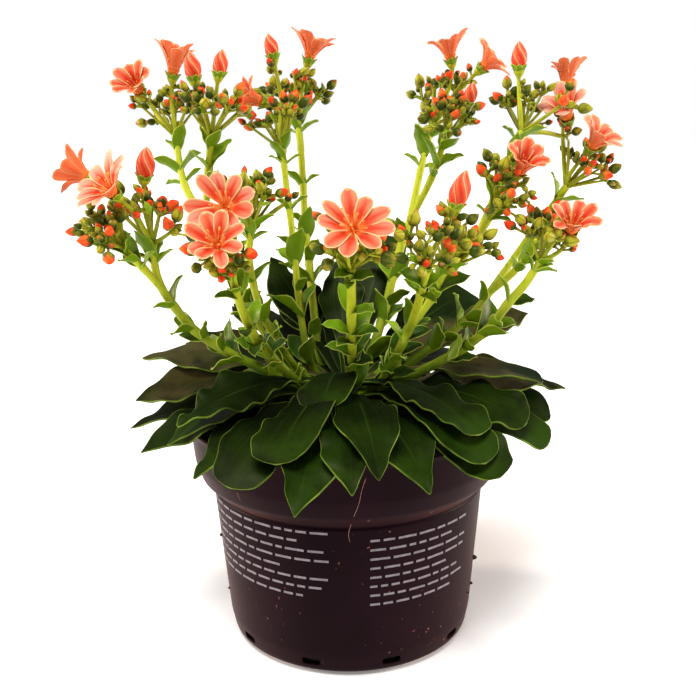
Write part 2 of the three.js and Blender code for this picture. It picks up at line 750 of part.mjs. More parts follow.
// Everything that grows from the crown on a flower stem, worked out before any solid is made
function plantPlan() {
  const room = new Room();
  LEAVES.forEach((leaf) => room.takeLeaf(leaf));
  const plans = STEMS.map((stem, owner) => {
    const limbs = limbPlans(stem);
    limbs.forEach(({ rows }) => room.takeLine(owner, 'stem', rows.map((row) => row.point), stem.radius));
    return { stem, limbs };
  });
  const carry = (item, calyxTop, facing, radius) => {
    const owner = STEMS.findIndex((stem) => stem.name === item.stem);
    const limb = plans[owner].limbs[item.fork];
    const end = along(calyxTop, facing, -CALYX_LENGTH);
    const side = nearestSide(limb.hub, end, limb.taken);
    const points = stalkPoints(limb.hub, side, end, facing);
    limb.taken.push(side);
    limb.stalks.push({ side, points, calyxTop, facing, radius });
    room.takeLine(owner, 'stalk', [limb.hub.point, ...points, calyxTop], STALK_RADIUS);
  };
  BLOOMS.forEach((bloom) => {
    const { facing, calyxTop } = bloomSeat(bloom);
    carry(bloom, calyxTop, facing, CALYX_RADIUS);
  });
  OPENING_BUDS.forEach((bud) => {
    const facing = vector(bud.facing).normalize();
    const foot = vector(bud.foot);
    carry(bud, along(foot, facing, -SEAT_GAP), facing, bud.radius * 0.75);
    [0.15, 0.4, 0.65, 0.9].forEach((t) => {
      room.take(-1, 'opening', along(foot, facing, bud.length * t), bud.radius);
    });
  });
  plans.forEach(({ stem, limbs }, owner) => {
    const draw = new Draw(stem.seed * 7919);
    limbs.forEach((limb) => {
      limb.branches = headBranches(room, owner, limb.hub, limb.head, limb.taken, draw);
    });
    limbs.forEach(({ rows }) => addBracts(room, owner, rows, draw));
  });
  return plans;
}

function bractOnSide(skin, quad, row, { side, middle, end, width }) {
  const outward = sideways(row, side, STEM_SIDES);
  const axis = new THREE.Vector3().subVectors(end, row.point).normalize();
  const across = new THREE.Vector3().crossVectors(row.axis, outward);
  const normal = new THREE.Vector3().crossVectors(axis, across);
  const belly = skin.ring(flatRing(middle, across, normal, width / 2, BRACT_THICK));
  skin.wall(quad, belly);
  skin.point(belly, skin.corner(end));
}

// A limb's skin up to the joint at its end. Gives back the joint's ring.
function limbSkin(skin, rows) {
  const hub = rows.at(-1);
  const ringAt = (row, shift, radius) => (
    skin.ring(roundRing(along(row.point, row.axis, shift), row.axis, row.across, STEM_SIDES, radius))
  );
  let last = null;
  rows.slice(0, -1).forEach((row) => {
    const half = row.leafy ? NODE_BAND / 2 : 0;
    const lower = ringAt(row, -half, row.radius);
    if (last) {
      skin.wall(last, lower);
    } else {
      skin.floor(lower);
    }
    last = lower;
    if (row.leafy) {
      last = ringAt(row, half, row.radius);
      leafyBand(skin, lower, last, row);
    }
  });
  const neck = ringAt(hub, -HUB_LENGTH, FORK_RADIUS);
  const joint = ringAt(hub, 0, HUB_RADIUS);
  skin.wall(last, neck);
  skin.wall(neck, joint);
  return joint;
}

function leafyBand(skin, lower, upper, row) {
  lower.forEach((corner, side) => {
    const next = (side + 1) % STEM_SIDES;
    const bract = row.bracts.find((candidate) => candidate.side === side);
    if (bract) {
      bractOnSide(skin, [upper[next], upper[side], corner, lower[next]], row, bract);
    } else {
      skin.triangles.push(corner, lower[next], upper[next], corner, upper[next], upper[side]);
    }
  });
}

// Rings of three that a twig grows through from one face
function twigRings(skin, face, points, radii) {
  const [a, b, c] = face.map((corner) => skin.corners[corner]);
  const middle = new THREE.Vector3().add(a).add(b).add(c).divideScalar(3);
  let first = new THREE.Vector3().subVectors(a, middle);
  let last = face;
  points.forEach((point, index) => {
    const before = points[index - 1] ?? middle;
    const after = points[index + 1] ?? point;
    const axis = new THREE.Vector3().subVectors(after, before).normalize();
    const ring = skin.ring(roundRing(point, axis, first, TWIG_SIDES, radii[index]));
    skin.wall(last, ring);
    first = new THREE.Vector3().subVectors(skin.corners[ring[0]], point);
    last = ring;
  });
  return last;
}

function branchOnFace(skin, face, { middle, end, direction, buds }) {
  const lower = twigRings(skin, face, [middle], [BRANCH_RADIUS]);
  const first = squareTo(direction)[0];
  const options = [0, 1, 2].map((step) => tilted(direction, Math.PI / 2, radians(step * 120)));
  const start = new THREE.Vector3().subVectors(skin.corners[lower[0]], middle);
  const dots = options.map((way) => way.dot(start));
  const turn = dots.indexOf(Math.max(...dots));
  const ring = skin.ring(roundRing(end, direction, first, TWIG_SIDES, BRANCH_END_RADIUS));
  skin.wall(lower, [0, 1, 2].map((step) => ring[(step + turn) % TWIG_SIDES]));
  const tip = skin.corner(along(end, direction, BRANCH_END_RADIUS));
  ring.forEach((corner, slot) => {
    const side = [corner, ring[(slot + 1) % TWIG_SIDES], tip];
    const bud = buds.find((candidate) => candidate.slot === slot);
    if (bud) {
      budOnFace(skin, side, bud);
    } else {
      skin.triangles.push(...side);
    }
  });
}

function budOnFace(skin, face, { foot, direction, size }) {
  const [a, b, c] = face.map((corner) => skin.corners[corner]);
  const middle = new THREE.Vector3().add(a).add(b).add(c).divideScalar(3);
  const first = new THREE.Vector3().subVectors(a, middle);
  const neck = skin.ring(roundRing(foot, direction, first, TWIG_SIDES, PEDICEL_RADIUS));
  const waist = along(foot, direction, BUD_LENGTH * size * BUD_WAIST);
  const belly = skin.ring(roundRing(waist, direction, first, TWIG_SIDES * 2, BUD_RADIUS * size));
  skin.wall(face, neck);
  skin.flare(neck, belly);
  skin.point(belly, skin.corner(along(foot, direction, BUD_LENGTH * size)));
}

// A stalk with the calyx that holds a bloom
function stalkOnFace(skin, face, { points, calyxTop, facing, radius }) {
  const last = twigRings(skin, face, points, points.map(() => STALK_RADIUS));
  const first = new THREE.Vector3().subVectors(skin.corners[last[0]], points.at(-1));
  const calyx = skin.ring(roundRing(calyxTop, facing, first, TWIG_SIDES * 2, radius));
  skin.flare(last, calyx);
  skin.lid(calyx);
}

function limbSolid({ rows, hub, stalks, branches }) {
  const skin = new Skin();
  const joint = limbSkin(skin, rows);
  const tip = skin.corner(along(hub.point, hub.axis, HUB_DOME));
  joint.forEach((corner, side) => {
    const face = [corner, joint[(side + 1) % STEM_SIDES], tip];
    const stalk = stalks.find((candidate) => candidate.side === side);
    const branch = branches.find((candidate) => candidate.side === side);
    if (stalk) {
      stalkOnFace(skin, face, stalk);
    } else if (branch) {
      branchOnFace(skin, face, branch);
    } else {
      skin.triangles.push(...face);
    }
  });
  return skin.solid();
}

function stemSolid({ limbs }) {
  return biggestPiece(fused(limbs.map(limbSolid)));
}

// Height of the point that bends a leaf, high enough for the blade to pass over the pot's rim
function bendHeight([, reach, tipHeight, , rootHeight, arch]) {
  const [rimRadius, rimHeight] = POT_OUTSIDE.at(-1);
  const t = (rimRadius - LEAF_ROOT_RADIUS) / (reach - LEAF_ROOT_RADIUS);
  const bend = (rootHeight + tipHeight) / 2 + arch * 1.5;
  if (t >= 1) {
    return bend;
  }
  const over = rimHeight + LEAF_OVER_RIM;
  return Math.max(bend, (over - (1 - t) ** 2 * rootHeight - t * t * tipHeight) / (2 * t * (1 - t)));
}

function leafSolid(leaf, index) {
  const width = leaf[3];
  const flip = index % 2 === 0 ? 1 : -1;
  const rings = LEAF_STATIONS.map((t, station) => {
    const { centre, side, normal } = leafPlace(leaf, t);
    const half = (width / 2) * LEAF_SHAPE[station];
    const waving = t > 0 && t < 1 ? LEAF_WAVE : 0;
    const wave = flip * waving * (station % 2 === 0 ? 1 : -1);
    const cup = half * LEAF_CUP;
    const thick = mix(LEAF_THICK, LEAF_TIP_THICK, t);
    return ridgedRing({ centre, side, normal, half, thick, liftRight: cup + wave, liftLeft: cup - wave });
  });
  return loft(rings);
}

// Solid turned round the upright axis from radius and height pairs
function turned(profile, sides) {
  const points = profile.map(([radius, height]) => new THREE.Vector2(radius, height));
  return solidFrom(new THREE.LatheGeometry(points, sides).rotateX(Math.PI / 2));
}

function crownSolid() {
  return turned([[0, CROWN[0][1]], ...CROWN, [0, CROWN_TIP]], CROWN_SIDES);
}

// The plain holes that the stems' feet stand in
function stemHoles(plans) {
  return plans.map(({ stem, limbs }) => {
    const [foot, ...above] = limbs[0].rows.slice(0, STEM_HOLE_STEPS + 1);
    const points = [along(foot.point, foot.axis, -SEAT_GAP), ...above.map((row) => row.point)];
    return loft(rodRings(points, points.map(() => stem.radius + STEM_HOLE_GAP), STEM_SIDES + 1));
  });
}

function rosetteSolid(plans) {
  const grown = fused([crownSolid(), ...LEAVES.map(leafSolid)]);
  return biggestPiece(stemHoles(plans).reduce((solid, hole) => solid.subtract(hole), grown));
}

function potSolid() {
  const shell = turned([
    [0, 0], ...POT_OUTSIDE, ...POT_INSIDE, [POT_INSIDE.at(-1)[0] - 1.5, POT_FLOOR], [0, POT_FLOOR],
  ], POT_SIDES);
  const hole = new THREE.BoxGeometry(DRAIN_HOLE_WIDTH, 8, DRAIN_HOLE_HEIGHT);
  hole.translate(0, -POT_OUTSIDE[2][0], DRAIN_HOLE_RISE);
  return Array.from({ length: DRAIN_HOLES }, (_, index) => (
    solidFrom(hole.clone().rotateZ((2 * Math.PI * (index + 0.5)) / DRAIN_HOLES))
  )).reduce((solid, opening) => solid.subtract(opening), shell);
}

// Soil with a lumpy top, a little clear of the pot all round
function soilSolid() {
  const draw = new Draw(5);
  const clear = SEAT_GAP + 0.5;
  const wall = [5, 3, 2, 1].map((row) => [POT_INSIDE[row][0] - clear, POT_INSIDE[row][1]]);
  wall.unshift([wall[0][0] - POT_FLOOR, POT_FLOOR + SEAT_GAP]);
  const ringAt = (radius, height, lump) => Array.from({ length: SOIL_SIDES }, (_, side) => {
    const angle = (2 * Math.PI * side) / SOIL_SIDES;
    const lift = lump ? draw.between(-lump, lump) : 0;
    return new THREE.Vector3(radius * Math.cos(angle), radius * Math.sin(angle), height + lift);
  });
  const rings = wall.map(([radius, height]) => ringAt(radius, height, 0));
  for (let ring = 0; ring < SOIL_RINGS; ring += 1) {
    const radius = (POT_INSIDE[1][0] - clear) * (1 - ring / SOIL_RINGS);
    rings.push(ringAt(radius, SOIL_TOP, SOIL_LUMP));
  }
  return loft(rings, new THREE.Vector3(0, 0, SOIL_TOP)).subtract(crownSocket());
}

// The plain hole in the soil that the crown stands in
function crownSocket() {
  const foot = CROWN[0][1] - SEAT_GAP;
  const wider = CROWN.map(([radius, height]) => [radius + SEAT_GAP * 2, height]);
  return turned([[0, foot], [wider[0][0], foot], ...wider, [0, CROWN_TIP]], CROWN_SIDES);
}

function bloomSolid(bloom) {
  const { facing, foot } = bloomSeat(bloom);
  const skin = new Skin();
  const first = squareTo(facing)[0];
  const ringAt = (radius, height) => (
    skin.ring(roundRing(along(foot, facing, height), facing, first, bloom.petals, radius))
  );
  const base = ringAt(FUNNEL_FOOT, 0);
  const outer = ringAt(FUNNEL_RIM[0], FUNNEL_RIM[1]);
  const inner = ringAt(FUNNEL_RIM[0] - 0.2, FUNNEL_RIM[1] + PETAL_THICK);
  skin.floor(base);
  skin.wall(base, outer);
  skin.point(inner, skin.corner(along(foot, facing, FUNNEL_RIM[1] - 0.6)));
  for (let petal = 0; petal < bloom.petals; petal += 1) {
    const next = (petal + 1) % bloom.petals;
    petalOnRim(skin, [inner[next], inner[petal], outer[petal], outer[next]], bloom, petal);
  }
  return skin.solid();
}

function petalOnRim(skin, rim, bloom, index) {
  const { facing, foot } = bloomSeat(bloom);
  const outward = tilted(facing, Math.PI / 2, (2 * Math.PI * (index + 0.5)) / bloom.petals);
  const side = new THREE.Vector3().crossVectors(facing, outward);
  const layer = index % 2 === 0 ? 0 : 0.8;
  const place = (t) => {
    const [reach, height] = petalLine(bloom, t);
    return along(along(foot, outward, reach), facing, height + layer * t);
  };
  let last = rim;
  PETAL_STATIONS.forEach((t, station) => {
    const axis = place(t + 0.02).sub(place(t)).normalize();
    const normal = new THREE.Vector3().crossVectors(axis, side);
    const room = petalLine(bloom, t)[0] * Math.tan(Math.PI / bloom.petals) * PETAL_SHARE;
    const half = Math.min(bloom.reach * PETAL_WIDTH * PETAL_SHAPE[station], room);
    const ring = skin.ring(flatRing(place(t), side, normal, half, PETAL_THICK));
    skin.wall(last, ring);
    last = ring;
  });
  skin.point(last, skin.corner(place(1)));
}

function openingBudSolid(bud) {
  const facing = vector(bud.facing).normalize();
  const foot = vector(bud.foot);
  const points = [0, 0.25, 0.5, 0.78].map((t) => along(foot, facing, bud.length * t));
  const radii = [0.7, 0.95, 1, 0.62].map((share) => share * bud.radius);
  return loft(rodRings(points, radii, 6), along(foot, facing, bud.length));
}

function meshOf(name, solid, [colour, roughness]) {
  const { vertProperties, triVerts } = solid.getMesh();
  const geometry = new THREE.BufferGeometry();
  geometry.setAttribute('position', new THREE.BufferAttribute(new Float32Array(vertProperties), 3));
  geometry.setIndex(new THREE.BufferAttribute(new Uint32Array(triVerts), 1));
  geometry.computeVertexNormals();
  const material = new THREE.MeshStandardMaterial({ color: colour, roughness, metalness: 0 });
  const mesh = new THREE.Mesh(geometry, material);
  mesh.name = name;
  return mesh;
}

const plans = plantPlan();
const plant = new THREE.Group();
plant.add(meshOf('pot', potSolid(), COLOURS.pot));
plant.add(meshOf('soil', soilSolid(), COLOURS.soil));
plant.add(meshOf('rosette', rosetteSolid(plans), COLOURS.leaf));
plans.forEach((plan) => plant.add(meshOf(plan.stem.name, stemSolid(plan), COLOURS.stem)));
BLOOMS.forEach((bloom) => plant.add(meshOf(bloom.name, bloomSolid(bloom), COLOURS.petal)));
OPENING_BUDS.forEach((bud) => plant.add(meshOf(bud.name, openingBudSolid(bud), COLOURS.petal)));

export default plant;
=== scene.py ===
"""Looks of a potted lewisia in flower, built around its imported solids.

The plant is worked out in millimetres and made into meshes in metres. +X is the viewer's right,
+Y points away from the viewer, +Z is up, and the origin is the centre of the pot's underside.
"""

from __future__ import annotations

import logging
import math
from dataclasses import dataclass, field
from enum import Enum

import bpy
import numpy as np
from bpy.types import Material, Node, NodeSocket, NodeTree, Object
from mathutils import Matrix
from mathutils.bvhtree import BVHTree

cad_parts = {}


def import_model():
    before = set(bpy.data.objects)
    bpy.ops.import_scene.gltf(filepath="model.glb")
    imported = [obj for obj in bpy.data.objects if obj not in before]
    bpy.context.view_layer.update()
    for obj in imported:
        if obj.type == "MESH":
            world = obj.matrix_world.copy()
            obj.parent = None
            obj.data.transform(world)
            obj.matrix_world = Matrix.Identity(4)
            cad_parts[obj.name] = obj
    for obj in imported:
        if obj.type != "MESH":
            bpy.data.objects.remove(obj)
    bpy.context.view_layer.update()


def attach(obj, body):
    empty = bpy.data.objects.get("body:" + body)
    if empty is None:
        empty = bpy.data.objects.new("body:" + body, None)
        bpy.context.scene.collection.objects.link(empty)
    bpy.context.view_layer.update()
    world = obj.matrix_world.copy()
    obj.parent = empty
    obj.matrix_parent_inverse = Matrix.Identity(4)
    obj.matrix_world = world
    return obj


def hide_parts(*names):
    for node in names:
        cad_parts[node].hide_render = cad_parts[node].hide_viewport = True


LOG = logging.getLogger("lewisia")
METRE = 0.001
RIGHT, AWAY, UP = np.eye(3)
FULL_TURN = 2 * math.pi
RIGHT_ANGLE = math.pi / 2
AXIS_GAP = 0.4
FAR_FROM_RIM = 9.0
Array = np.ndarray
Pair = tuple[float, float]
Triple = tuple[float, float, float]
Floats = tuple[float, ...]


# Sizes that the solids share

POT_OUTSIDE = (
    (43, 0), (46.3, 2.2), (47.7, 9), (52, 58.6), (51.4, 59.6), (56.5, 64.5), (58.6, 71),
    (59.8, 83), (60.6, 85),
)
POT_INSIDE = ((59.3, 85), (57.2, 71), (55.1, 65.2), (50, 59.2), (46.2, 9.4), (44.4, 3.4))
LEAF_STATIONS = (0, 0.38, 0.62, 0.86, 1)
LEAF_SHARES = (0.14, 0.52, 0.98, 0.84, 0.2)
LEAF_ROOT_RADIUS = 5
LEAF_OVER_RIM = 1.8
STEM_SIDES = 5
STEM_STEPS = 6
STEM_NODES = (3, 4, 5)
FORK_STEPS = 2
FORK_NODES = (1,)
FORK_RADIUS = 1.2
STEM_TAPER = 0.82
HUB_RADIUS = 1.9
HEAD_BRANCHES = 3
BRANCH_LEAN = (16, 62)
BRANCH_SPREAD = (0.65, 1)
TWIG_SIDES = 3
PEDICEL_LENGTH = (3.5, 7)
STALK_RADIUS = 0.9
STALK_STATIONS = (0.33, 0.67, 1)
STALK_LEAN = 45
STALK_BEND = 0.38
BRACT_LENGTH = 11
BRACT_WIDTH = 0.45
BRACT_LEAN = (42, 58)
BRACT_TIP_LEAN = 68
SMALL_BRACT = 0.75
BUD_LENGTH = 5.2
BUD_RADIUS = 2.2
BUD_WAIST = 0.42
BUD_LEAN = (30, 56)
BUD_SIZE = (0.85, 1.1)
TRIES = 8
CLEAR_OF_OTHERS = 0.7
CLEAR_OF_OWN = 0.25
PETAL_GAP = 1.4
THROAT_GAP = 2.4
SEAT_GAP = 0.3
THROAT_DEPTH = 3.5
CALYX_LENGTH = 3.2
CALYX_RADIUS = 2.1
FUNNEL_RIM = (2.4, 2.3)


@dataclass(frozen=True)
class LeafRow:
    """One large leaf: azimuth from the viewer's side, reach and height of its tip, and the rest."""

    azimuth: float
    reach: float
    tip: float
    width: float
    root: float
    arch: float


@dataclass(frozen=True)
class Fork:
    """A stem's path on from its end, and the reach of the head's bud branches."""

    path: tuple[Triple, ...]
    reach: float


@dataclass(frozen=True)
class StemRow:
    """One flower stem from its foot in the crown to its forks."""

    name: str
    radius: float
    seed: int
    path: tuple[Triple, ...]
    forks: tuple[Fork, ...]


@dataclass(frozen=True)
class BloomRow:
    """One open bloom. Blush is how pale and pink its petals are, from 0 to 1."""

    name: str
    stem: str
    fork: int
    throat: Triple
    facing: Triple
    reach: float
    rise: float
    petals: int
    blush: float


@dataclass(frozen=True)
class OpeningRow:
    """One large bud whose petals show but are still folded."""

    name: str
    stem: str
    fork: int
    foot: Triple
    facing: Triple
    length: float
    radius: float


LEAVES = tuple(
    LeafRow(*row)
    for row in (
        (-12, 81, 76, 22, 83, 15), (1, 78, 82, 20, 84, 15), (20, 75, 79, 21, 83, 15),
        (40, 76, 79, 20, 83, 13), (70, 77, 79, 20, 82, 11), (91, 79, 82, 20, 83, 11),
        (-31, 73, 79, 19, 83, 13), (-44, 74, 79, 18, 82, 12), (-70, 79, 79, 18, 82, 11),
        (-87, 83, 81, 19, 83, 11), (-106, 74, 81, 20, 83, 12), (116, 78, 80, 20, 82, 12),
        (-131, 78, 80, 21, 82, 12), (146, 80, 79, 21, 83, 12), (-158, 80, 79, 21, 83, 12),
        (175, 79, 80, 21, 82, 12),
        (7, 78, 83, 21, 91, 14), (38, 73, 84, 21, 91, 13), (-19, 69, 84, 23, 91, 14),
        (-58, 73, 82, 21, 91, 13), (-89, 81, 91, 21, 91, 10), (65, 70, 88, 20, 91, 11),
        (96, 87, 90, 20, 90, 9), (-118, 78, 92, 21, 90, 9), (132, 78, 92, 21, 91, 9),
        (-143, 78, 92, 21, 91, 9), (162, 76, 93, 21, 90, 9), (-170, 76, 93, 21, 91, 9),
        (39, 68, 92, 21, 97, 9), (-52, 72, 94, 20, 97, 9), (-12, 42, 95, 20, 98, 10),
        (-101, 83, 100, 20, 97, 7), (82, 74, 97, 20, 97, 8), (117, 86, 115, 22, 97, 5),
        (-121, 80, 104, 21, 97, 6), (-137, 72, 115, 22, 97, 4), (136, 78, 124, 23, 97, 3),
        (-157, 58, 126, 24, 97, 3), (160, 50, 148, 22, 98, 1), (-138, 46, 141, 20, 98, 1),
        (-177, 36, 140, 18, 98, 1),
    )
)

STEMS = (
    StemRow(
        "stem_far_left", 1.9, 11,
        ((-10, -3.4, 92), (-23, -8, 100), (-36, -11, 108), (-51, -13, 117), (-60, -15, 128),
         (-65, -17, 137)),
        (Fork(((-67, -17, 145), (-67, -18, 153)), 14), Fork(((-70, -22, 145), (-75, -29, 153)), 12)),
    ),
    StemRow(
        "stem_left_back", 2, 12,
        ((-10.5, 2, 92), (-18, 2, 99), (-32, 8, 116), (-42, 12, 134), (-50, 12, 151), (-53, 13, 158)),
        (Fork(((-59, 18, 166), (-64, 26, 178), (-66, 32, 190)), 16),
         Fork(((-52, 9, 168), (-49, 6, 180), (-48, 5, 189)), 15)),
    ),
    StemRow(
        "stem_left_front", 1.9, 13,
        ((-7.5, -8, 92), (-17, -14, 100), (-26, -22, 112), (-31, -30, 121), (-34, -37, 131)),
        (Fork(((-35, -42, 137), (-36, -50, 147)), 11),),
    ),
    StemRow(
        "stem_left_mid", 1.6, 14,
        ((-5, -1.5, 94), (-15, -3, 99), (-26, -8, 116), (-32, -11, 132), (-34, -14, 148)),
        (Fork(((-33, -13, 157),), 16),),
    ),
    StemRow(
        "stem_back_left", 1.7, 15,
        ((-4, 9.5, 92), (-11, 11, 106), (-13, 18, 131), (-15, 26, 148), (-16, 34, 166),
         (-17, 42, 185)),
        (Fork(((-18, 46, 195),), 16),),
    ),
    StemRow(
        "stem_back_mid", 1.5, 16,
        ((-5.5, 4, 94), (-14, 5, 104), (-18, 10, 130), (-20, 14, 154), (-22, 18, 172)),
        (Fork(((-23, 21, 184),), 14),),
    ),
    StemRow(
        "stem_front", 1.9, 17,
        ((0, -10, 92), (1, -17, 99), (2, -27, 113), (2, -37, 127), (2, -47, 138)),
        (Fork(((2, -56, 148),), 12),),
    ),
    StemRow(
        "stem_back_right", 2, 28,
        ((4, 9, 92), (9, 10, 103), (16, 18, 122), (22, 26, 143), (27, 31, 156)),
        (Fork(((30, 37, 170), (34, 43, 181), (37, 48, 192)), 20),
         Fork(((33, 30, 166), (37, 27, 178), (40, 25, 187)), 12)),
    ),
    StemRow(
        "stem_right_front", 1.9, 19,
        ((5, -6.5, 93), (12, -10, 98), (18, -16, 110), (23, -21, 122)),
        (Fork(((25, -31, 132), (26, -39, 140), (27, -45, 147)), 12),
         Fork(((30, -22, 132), (35, -24, 143)), 14)),
    ),
    StemRow(
        "stem_right_mid", 2, 20,
        ((5.5, 0, 94), (15, 1, 102), (28, 2, 124), (41, 1, 140), (50, -1, 153)),
        (Fork(((55, -7, 163),), 13), Fork(((57, 4, 168), (63, 9, 180), (67, 12, 189)), 17)),
    ),
    StemRow(
        "stem_right_back", 1.9, 31,
        ((10, 3.5, 92), (20, 6, 99), (37, 8, 111), (50, 13, 120), (57, 16, 128)),
        (Fork(((61, 20, 137), (73, 26, 147), (82, 25, 158), (87, 22, 168)), 16),
         Fork(((66, 15, 136), (75, 16, 148)), 8)),
    ),
    StemRow(
        "stem_far_right", 1.9, 22,
        ((10, -4, 92), (18, -7, 97), (35, -10, 107), (49, -12, 116), (57, -15, 127), (64, -17, 136)),
        (Fork(((69, -18, 144),), 13),),
    ),
)

BLOOMS = tuple(
    BloomRow(*row)
    for row in (
        ("bloom_front", "stem_front", 0, (3, -66, 162), (0.05, -0.8, 0.6), 13, 5, 9, 0.35),
        ("bloom_left_upper", "stem_left_front", 0, (-37, -51, 168), (-0.15, -0.9, 0.4), 13, 5, 9, 0.55),
        ("bloom_left_lower", "stem_left_front", 0, (-38, -66, 158), (-0.05, -0.8, 0.6), 11, 6, 8, 0.25),
        ("bloom_far_left_front", "stem_far_left", 0, (-76, -38, 173), (-0.5, -0.6, 0.6), 13, 7, 9, 0.8),
        ("bloom_far_left_back", "stem_far_left", 1, (-89, -20, 177), (-0.9, 0.1, 0.4), 10, 8, 8, 0.2),
        ("bloom_left_back_cup", "stem_left_back", 0, (-80, 32, 209), (-0.3, -0.75, 0.6), 9.5, 9, 8, 0.1),
        ("bloom_left_back_top", "stem_left_back", 0, (-65, 32, 216), (0.2, -0.1, 1), 9, 11, 8, 0.2),
        ("bloom_back_left_top", "stem_back_left", 0, (-12, 46, 222), (0.3, -0.1, 0.95), 11, 9, 8, 0.2),
        ("bloom_back_mid_side", "stem_back_mid", 0, (-33, 22, 203), (-0.9, -0.3, 0.3), 9, 8, 8, 0.2),
        ("bloom_back_right_side", "stem_back_right", 0, (58, 37, 216), (0.7, -0.3, 0.6), 11, 7, 8, 0.3),
        ("bloom_back_right_top", "stem_back_right", 0, (44, 47, 221), (-0.2, -0.1, 1), 10, 9, 8, 0.2),
        ("bloom_right_mid_cup", "stem_right_mid", 0, (63, -12, 177), (0.25, -0.65, 0.7), 9, 10, 8, 0.0),
        ("bloom_right_back_upper", "stem_right_mid", 1, (86, 22, 196), (-0.4, -0.5, 0.8), 10, 10, 8, 0.9),
        ("bloom_right_back_side", "stem_right_back", 0, (96, 16, 185), (0.45, -0.5, 0.75), 11, 9, 8, 0.6),
        ("bloom_right_back_top", "stem_right_back", 0, (89, 36, 209), (0.1, 0.2, 1), 8, 10, 7, 0.3),
        ("bloom_far_right", "stem_far_right", 0, (79, -22, 157), (0.05, -0.6, 0.8), 10, 8, 8, 0.1),
    )
)

OPENING_BUDS = tuple(
    OpeningRow(*row)
    for row in (
        ("opening_bud_far_left", "stem_far_left", 0, (-68, -20, 176), (0.2, -0.3, 0.9), 11, 3.2),
        ("opening_bud_left_back", "stem_left_back", 1, (-54, 11, 210), (-0.1, -0.1, 1), 10, 3),
        ("opening_bud_left_back_tip", "stem_left_back", 1, (-44, 4, 211), (0.2, 0, 1), 9, 2.6),
        ("opening_bud_back_mid", "stem_back_mid", 0, (-26, 30, 219), (-0.2, 0, 1), 9, 2.6),
        ("opening_bud_back_right", "stem_back_right", 1, (49, 29, 200), (0.3, 0, 1), 9, 2.6),
        ("opening_bud_right_front", "stem_right_front", 0, (36, -42, 166), (0.3, -0.1, 1), 12, 3.2),
        ("opening_bud_right_mid", "stem_right_mid", 1, (66, 14, 212), (0, 0, 1), 10, 2.8),
    )
)


# Directions, curves and draws


class Draw:
    """A repeatable draw of numbers from 0 to 1."""

    def __init__(self, seed: int) -> None:
        """Starts the draw from a whole number that fixes every later draw."""
        self.state = seed & 0xFFFFFFFF

    def next(self) -> float:
        """Gives the next number from 0 to 1."""
        self.state = (self.state * 1664525 + 1013904223) & 0xFFFFFFFF
        return self.state / 4294967296

    def between(self, low: float, high: float) -> float:
        """Gives the next number between two limits."""
        return low + (high - low) * self.next()


def triple(values: tuple) -> Array:
    """Makes a vector of three numbers, or a table of such vectors."""
    return np.array(values, float)


def unit(vector: Array) -> Array:
    """Scales a vector, or each row of an array of them, to length one."""
    return vector / np.maximum(np.linalg.norm(vector, axis=-1, keepdims=True), 1e-12)


def square_to(axis: Array) -> tuple[Array, Array]:
    """Finds two unit vectors square to an axis, turning left round it.

    Args:
        axis: Unit vector.

    Returns:
        The two vectors.
    """
    helper = UP if abs(axis[2]) < 0.9 else RIGHT
    first = unit(np.cross(helper, axis))
    return first, unit(np.cross(axis, first))


def tilted(axis: Array, tilt: float, turn: float) -> Array:
    """Tilts an axis by one angle, towards the side that another angle gives.

    Args:
        axis: Unit vector.
        tilt: Angle away from it, in radians.
        turn: Angle round it, in radians.

    Returns:
        Unit vector.
    """
    first, second = square_to(axis)
    side = first * math.cos(turn) + second * math.sin(turn)
    return unit(axis * math.cos(tilt) + side * math.sin(tilt))


def leaning(axis: Array, outward: Array, degrees: float) -> Array:
    """Leans an axis towards a vector square to it by an angle in degrees."""
    angle = math.radians(degrees)
    return axis * math.cos(angle) + outward * math.sin(angle)


def bearing(angle: float) -> tuple[Array, Array]:
    """The way out from the upright axis at an azimuth from the viewer's side, and the way across it."""
    sine, cosine = math.sin(angle), math.cos(angle)
    return np.array([sine, -cosine, 0]), np.array([cosine, sine, 0])


def bent_line(start: Array, control: Array, end: Array, t: Array) -> Array:
    """Points of a curve bent by one control point, one row for each share of the way along."""
    t = np.asarray(t, float)[..., None]
    return start * (1 - t) ** 2 + control * 2 * t * (1 - t) + end * t**2


def smooth_line(points: Array, shares: Array | float) -> Array:
    """Points of a smooth curve through given points.

    Args:
        points: The points that the curve passes through, one a row.
        shares: Shares of the way along, where each span between two points counts the same.

    Returns:
        One row for each share.
    """
    count = len(points)
    before = 2 * points[0] - points[1]
    after = 2 * points[-1] - points[-2]
    padded = np.vstack([before, points, after])
    found = []
    for share in np.atleast_1d(shares):
        place = (count - 1) * float(share)
        index = min(int(math.floor(place)), count - 2)
        w = place - index
        p0, p1, p2, p3 = padded[index : index + 4]
        first, last = (p2 - p0) / 2, (p3 - p1) / 2
        cubic = 2 * p1 - 2 * p2 + first + last
        squared = -3 * p1 + 3 * p2 - 2 * first - last
        found.append(p1 + first * w + squared * w**2 + cubic * w**3)
    return np.array(found)


def eased(values: Array, low: float, high: float) -> Array:
    """Smooth step from 0 at one limit to 1 at the other."""
    share = np.clip((np.asarray(values, float) - low) / (high - low), 0, 1)
    return share * share * (3 - 2 * share)


def leaf_bend_height(leaf: LeafRow) -> float:
    """Height of the point that bends a leaf, so that its blade passes over the pot's rim.

    Args:
        leaf: The leaf.

    Returns:
        The height.
    """
    rim_radius, rim_height = POT_OUTSIDE[-1]
    t = (rim_radius - LEAF_ROOT_RADIUS) / (leaf.reach - LEAF_ROOT_RADIUS)
    bend = (leaf.root + leaf.tip) / 2 + leaf.arch * 1.5
    if t >= 1:
        return bend
    over = rim_height + LEAF_OVER_RIM
    return max(bend, (over - (1 - t) ** 2 * leaf.root - t * t * leaf.tip) / (2 * t * (1 - t)))


